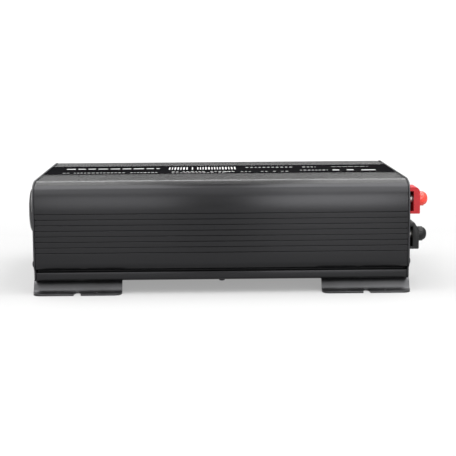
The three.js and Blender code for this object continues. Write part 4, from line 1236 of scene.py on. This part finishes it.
def make_fan_guard():
    """Three rings and four arms of wire, each arm with an eye for a screw."""
    at = centre("fan_guard")
    x = SEAT + GUARD_STANDOFF
    reach = FAN_BOLT * math.sqrt(2)
    parts = [lathe(around(x, radius, WIRE, 24), (0, at.y, at.z), segments=96) for radius in GUARD_RINGS]
    arm_end = reach - EYE_GAP
    for turn in diagonals(at):
        arm = lathe([(0, 0), (0, WIRE), (arm_end, WIRE), (arm_end, 0)], (x, 0, 0), "Y", 16)
        eye = lathe(arc(x, EYE_RADIUS, WIRE, 0, 345, 15), (0, reach, 0), segments=40)
        for part in (arm, eye):
            bmesh.ops.transform(part, matrix=turn, verts=part.verts)
        parts += [arm, eye]
    guard = bmesh.new()
    for part in parts:
        merge_into(guard, part)
    piece_from(guard, "fan_wire_guard", "zinc_steel", replaces=["fan_guard"], smooth=60)
    make_fan_screws(at, x + GUARD_STANDOFF, reach)


# ---- carried-over CAD nodes -------------------------------------------------


def dress_cad_nodes():
    for row in frame["record"]["subparts"]:
        mesh = frame["nodes"][row["node"]].data
        mesh.materials.clear()
        mesh.materials.append(FINISHES[row["material_slot"]])


# ---- floor, lights and camera -----------------------------------------------

FLOOR_RADIUS = 40
FLOOR_SHADE = 0.22
FLOOR_GLOW = 0.33  # under and around the object
FLOOR_GLOW_FAR = 1.1  # towards the back of the room
GLOW_START = 0.3  # metres behind the object
GLOW_END = 2.5
# Brightness of the room against the sine of the height above the horizon.
ROOM_BEHIND = [(0.0, 1.1), (0.04, 1.1), (0.075, 0.06), (0.24, 0.06), (0.42, 0.52), (1.0, 0.52)]
ROOM_IN_FRONT = [(0.0, 0.44), (0.2, 0.44), (0.5, 2.0), (1.0, 2.0)]
ROOM_BLEND = 0.25  # half the width of the change from one to the other


def make_stage():
    """A pale round floor that glows more towards the back."""
    bm = bmesh.new()
    bmesh.ops.create_circle(bm, cap_ends=True, radius=FLOOR_RADIUS, segments=96)
    mesh = bpy.data.meshes.new("studio_floor")
    bm.to_mesh(mesh)
    bm.free()
    floor = bpy.data.objects.new("studio_floor", mesh)
    bpy.context.collection.objects.link(floor)
    material, tree, shader = node_material("studio_floor", (FLOOR_SHADE,) * 3, 0.9, spec=0.0)
    shader.inputs["Emission Color"].default_value = (1, 1, 1, 1)
    coords = tree.nodes.new("ShaderNodeTexCoord")
    parts = tree.nodes.new("ShaderNodeSeparateXYZ")
    glow = map_range(tree, GLOW_START, GLOW_END)
    glow.inputs["To Min"].default_value = FLOOR_GLOW
    glow.inputs["To Max"].default_value = FLOOR_GLOW_FAR
    tree.links.new(coords.outputs["Object"], parts.inputs["Vector"])
    tree.links.new(parts.outputs["Y"], glow.inputs["Value"])
    tree.links.new(glow.outputs["Result"], shader.inputs["Emission Strength"])
    mesh.materials.append(material)


def room_ramp(tree, height, stops):
    """Brightness of one half of the room from the floor up."""
    ramp = tree.nodes.new("ShaderNodeValToRGB")
    elements = ramp.color_ramp.elements
    for place, value in stops[1:-1]:
        elements.new(place)
    for element, (place, value) in zip(elements, stops):
        element.position = place
        element.color = (value, value, value, 1)
    tree.links.new(height, ramp.inputs["Fac"])
    return ramp


def make_world():
    """A white room: dimmer in front of the object, with a dark band low behind it."""
    world = bpy.data.worlds.new("studio")
    bpy.context.scene.world = world
    world.use_nodes = True
    tree = world.node_tree
    coords = tree.nodes.new("ShaderNodeTexCoord")
    parts = tree.nodes.new("ShaderNodeSeparateXYZ")
    tree.links.new(coords.outputs["Generated"], parts.inputs["Vector"])
    behind = room_ramp(tree, parts.outputs["Z"], ROOM_BEHIND)
    before = room_ramp(tree, parts.outputs["Z"], ROOM_IN_FRONT)
    side = map_range(tree, -ROOM_BLEND, ROOM_BLEND)
    tree.links.new(parts.outputs["Y"], side.inputs["Value"])
    tree.links.new(before.outputs["Color"], side.inputs["To Min"])
    tree.links.new(behind.outputs["Color"], side.inputs["To Max"])
    tree.links.new(side.outputs["Result"], tree.nodes["Background"].inputs["Color"])


def softbox(name, place, target, size, power):
    light = bpy.data.lights.new(name, "AREA")
    light.shape = "RECTANGLE"
    light.size, light.size_y = size
    light.energy = power
    obj = bpy.data.objects.new(name, light)
    bpy.context.collection.objects.link(obj)
    obj.location = place
    obj.rotation_euler = (Vector(target) - Vector(place)).to_track_quat("-Z", "Y").to_euler()


# Soft boxes in pairs, dimmer on the left: name, place of the right-hand one, the point that it
# faces, its width and depth, and the watts of the left and the right one.
CASE_FACE = (0.2, 0, 0.06)
SOFT_PAIRS = [
    ("overhead", (0.68, -0.13, 1.3), (0.68, -0.13, 0), (1.0, 1.55), (25.2, 28.7)),
    ("front_low", (0.60, -1.5, 0.27), CASE_FACE, (0.8, 0.5), (4.2, 7.0)),
    ("front_middle", (0.70, -1.2, 0.95), CASE_FACE, (0.9, 0.7), (2.9, 5.4)),
    ("back_high", (0.65, 0.95, 1.15), CASE_FACE, (0.9, 0.7), (1.8, 2.2)),
]


def make_lights():
    for name, (x, y, z), (aim_x, aim_y, aim_z), size, powers in SOFT_PAIRS:
        for hand, side, power in zip(("left", "right"), (-1, 1), powers):
            softbox(f"{name}_{hand}", (side * x, y, z), (side * aim_x, aim_y, aim_z), size, power)
    softbox("back_strip", (0, 1.9, 0.85), (0, 0, 0.1), (2.6, 0.2), 6.6)


# Place in the case's millimetres, focal length in millimetres, angles in radians.
CAMERA_PLACE = (-17.62, -1372.8, 226.8)
CAMERA_FOCAL = 103.05
CAMERA_SENSOR = 36
CAMERA_PITCH = 0.13894
CAMERA_YAW = 0.01884
CAMERA_ROLL = -0.00656


def make_camera():
    camera = bpy.data.objects.new("camera", bpy.data.cameras.new("camera"))
    bpy.context.collection.objects.link(camera)
    camera.data.lens = CAMERA_FOCAL
    camera.data.sensor_width = CAMERA_SENSOR
    camera.data.clip_start = 0.01
    camera.data.clip_end = 200
    ahead = math.cos(CAMERA_PITCH)
    forward = Vector((math.sin(CAMERA_YAW) * ahead, math.cos(CAMERA_YAW) * ahead, -math.sin(CAMERA_PITCH)))
    level = Vector((math.cos(CAMERA_YAW), -math.sin(CAMERA_YAW), 0))
    up = level.cross(forward)
    right = math.cos(CAMERA_ROLL) * level + math.sin(CAMERA_ROLL) * up
    raised = -math.sin(CAMERA_ROLL) * level + math.cos(CAMERA_ROLL) * up
    turn = Matrix((right, raised, -forward)).transposed().to_4x4()
    camera.matrix_world = Matrix.Translation(to_row @ Vector(CAMERA_PLACE)) @ turn
    bpy.context.scene.camera = camera
    bpy.context.scene.view_settings.view_transform = "Standard"


# ---- everything -------------------------------------------------------------

dress_cad_nodes()
make_shell()
make_tray()
make_end_panels()
make_screws()
make_feet()
make_label()
make_print()
make_terminal("positive", "red_plastic", "red_knob")
make_terminal("negative", "black_plastic", "black_plastic")
make_earth_terminal()
for number in (1, 2):
    make_outlet(number)
make_switch()
make_usb_port()
make_remote_port()
make_lamps()
make_fan_frame()
make_fan_rotor()
make_fan_guard()
make_stage()
make_world()
make_lights()
make_camera()
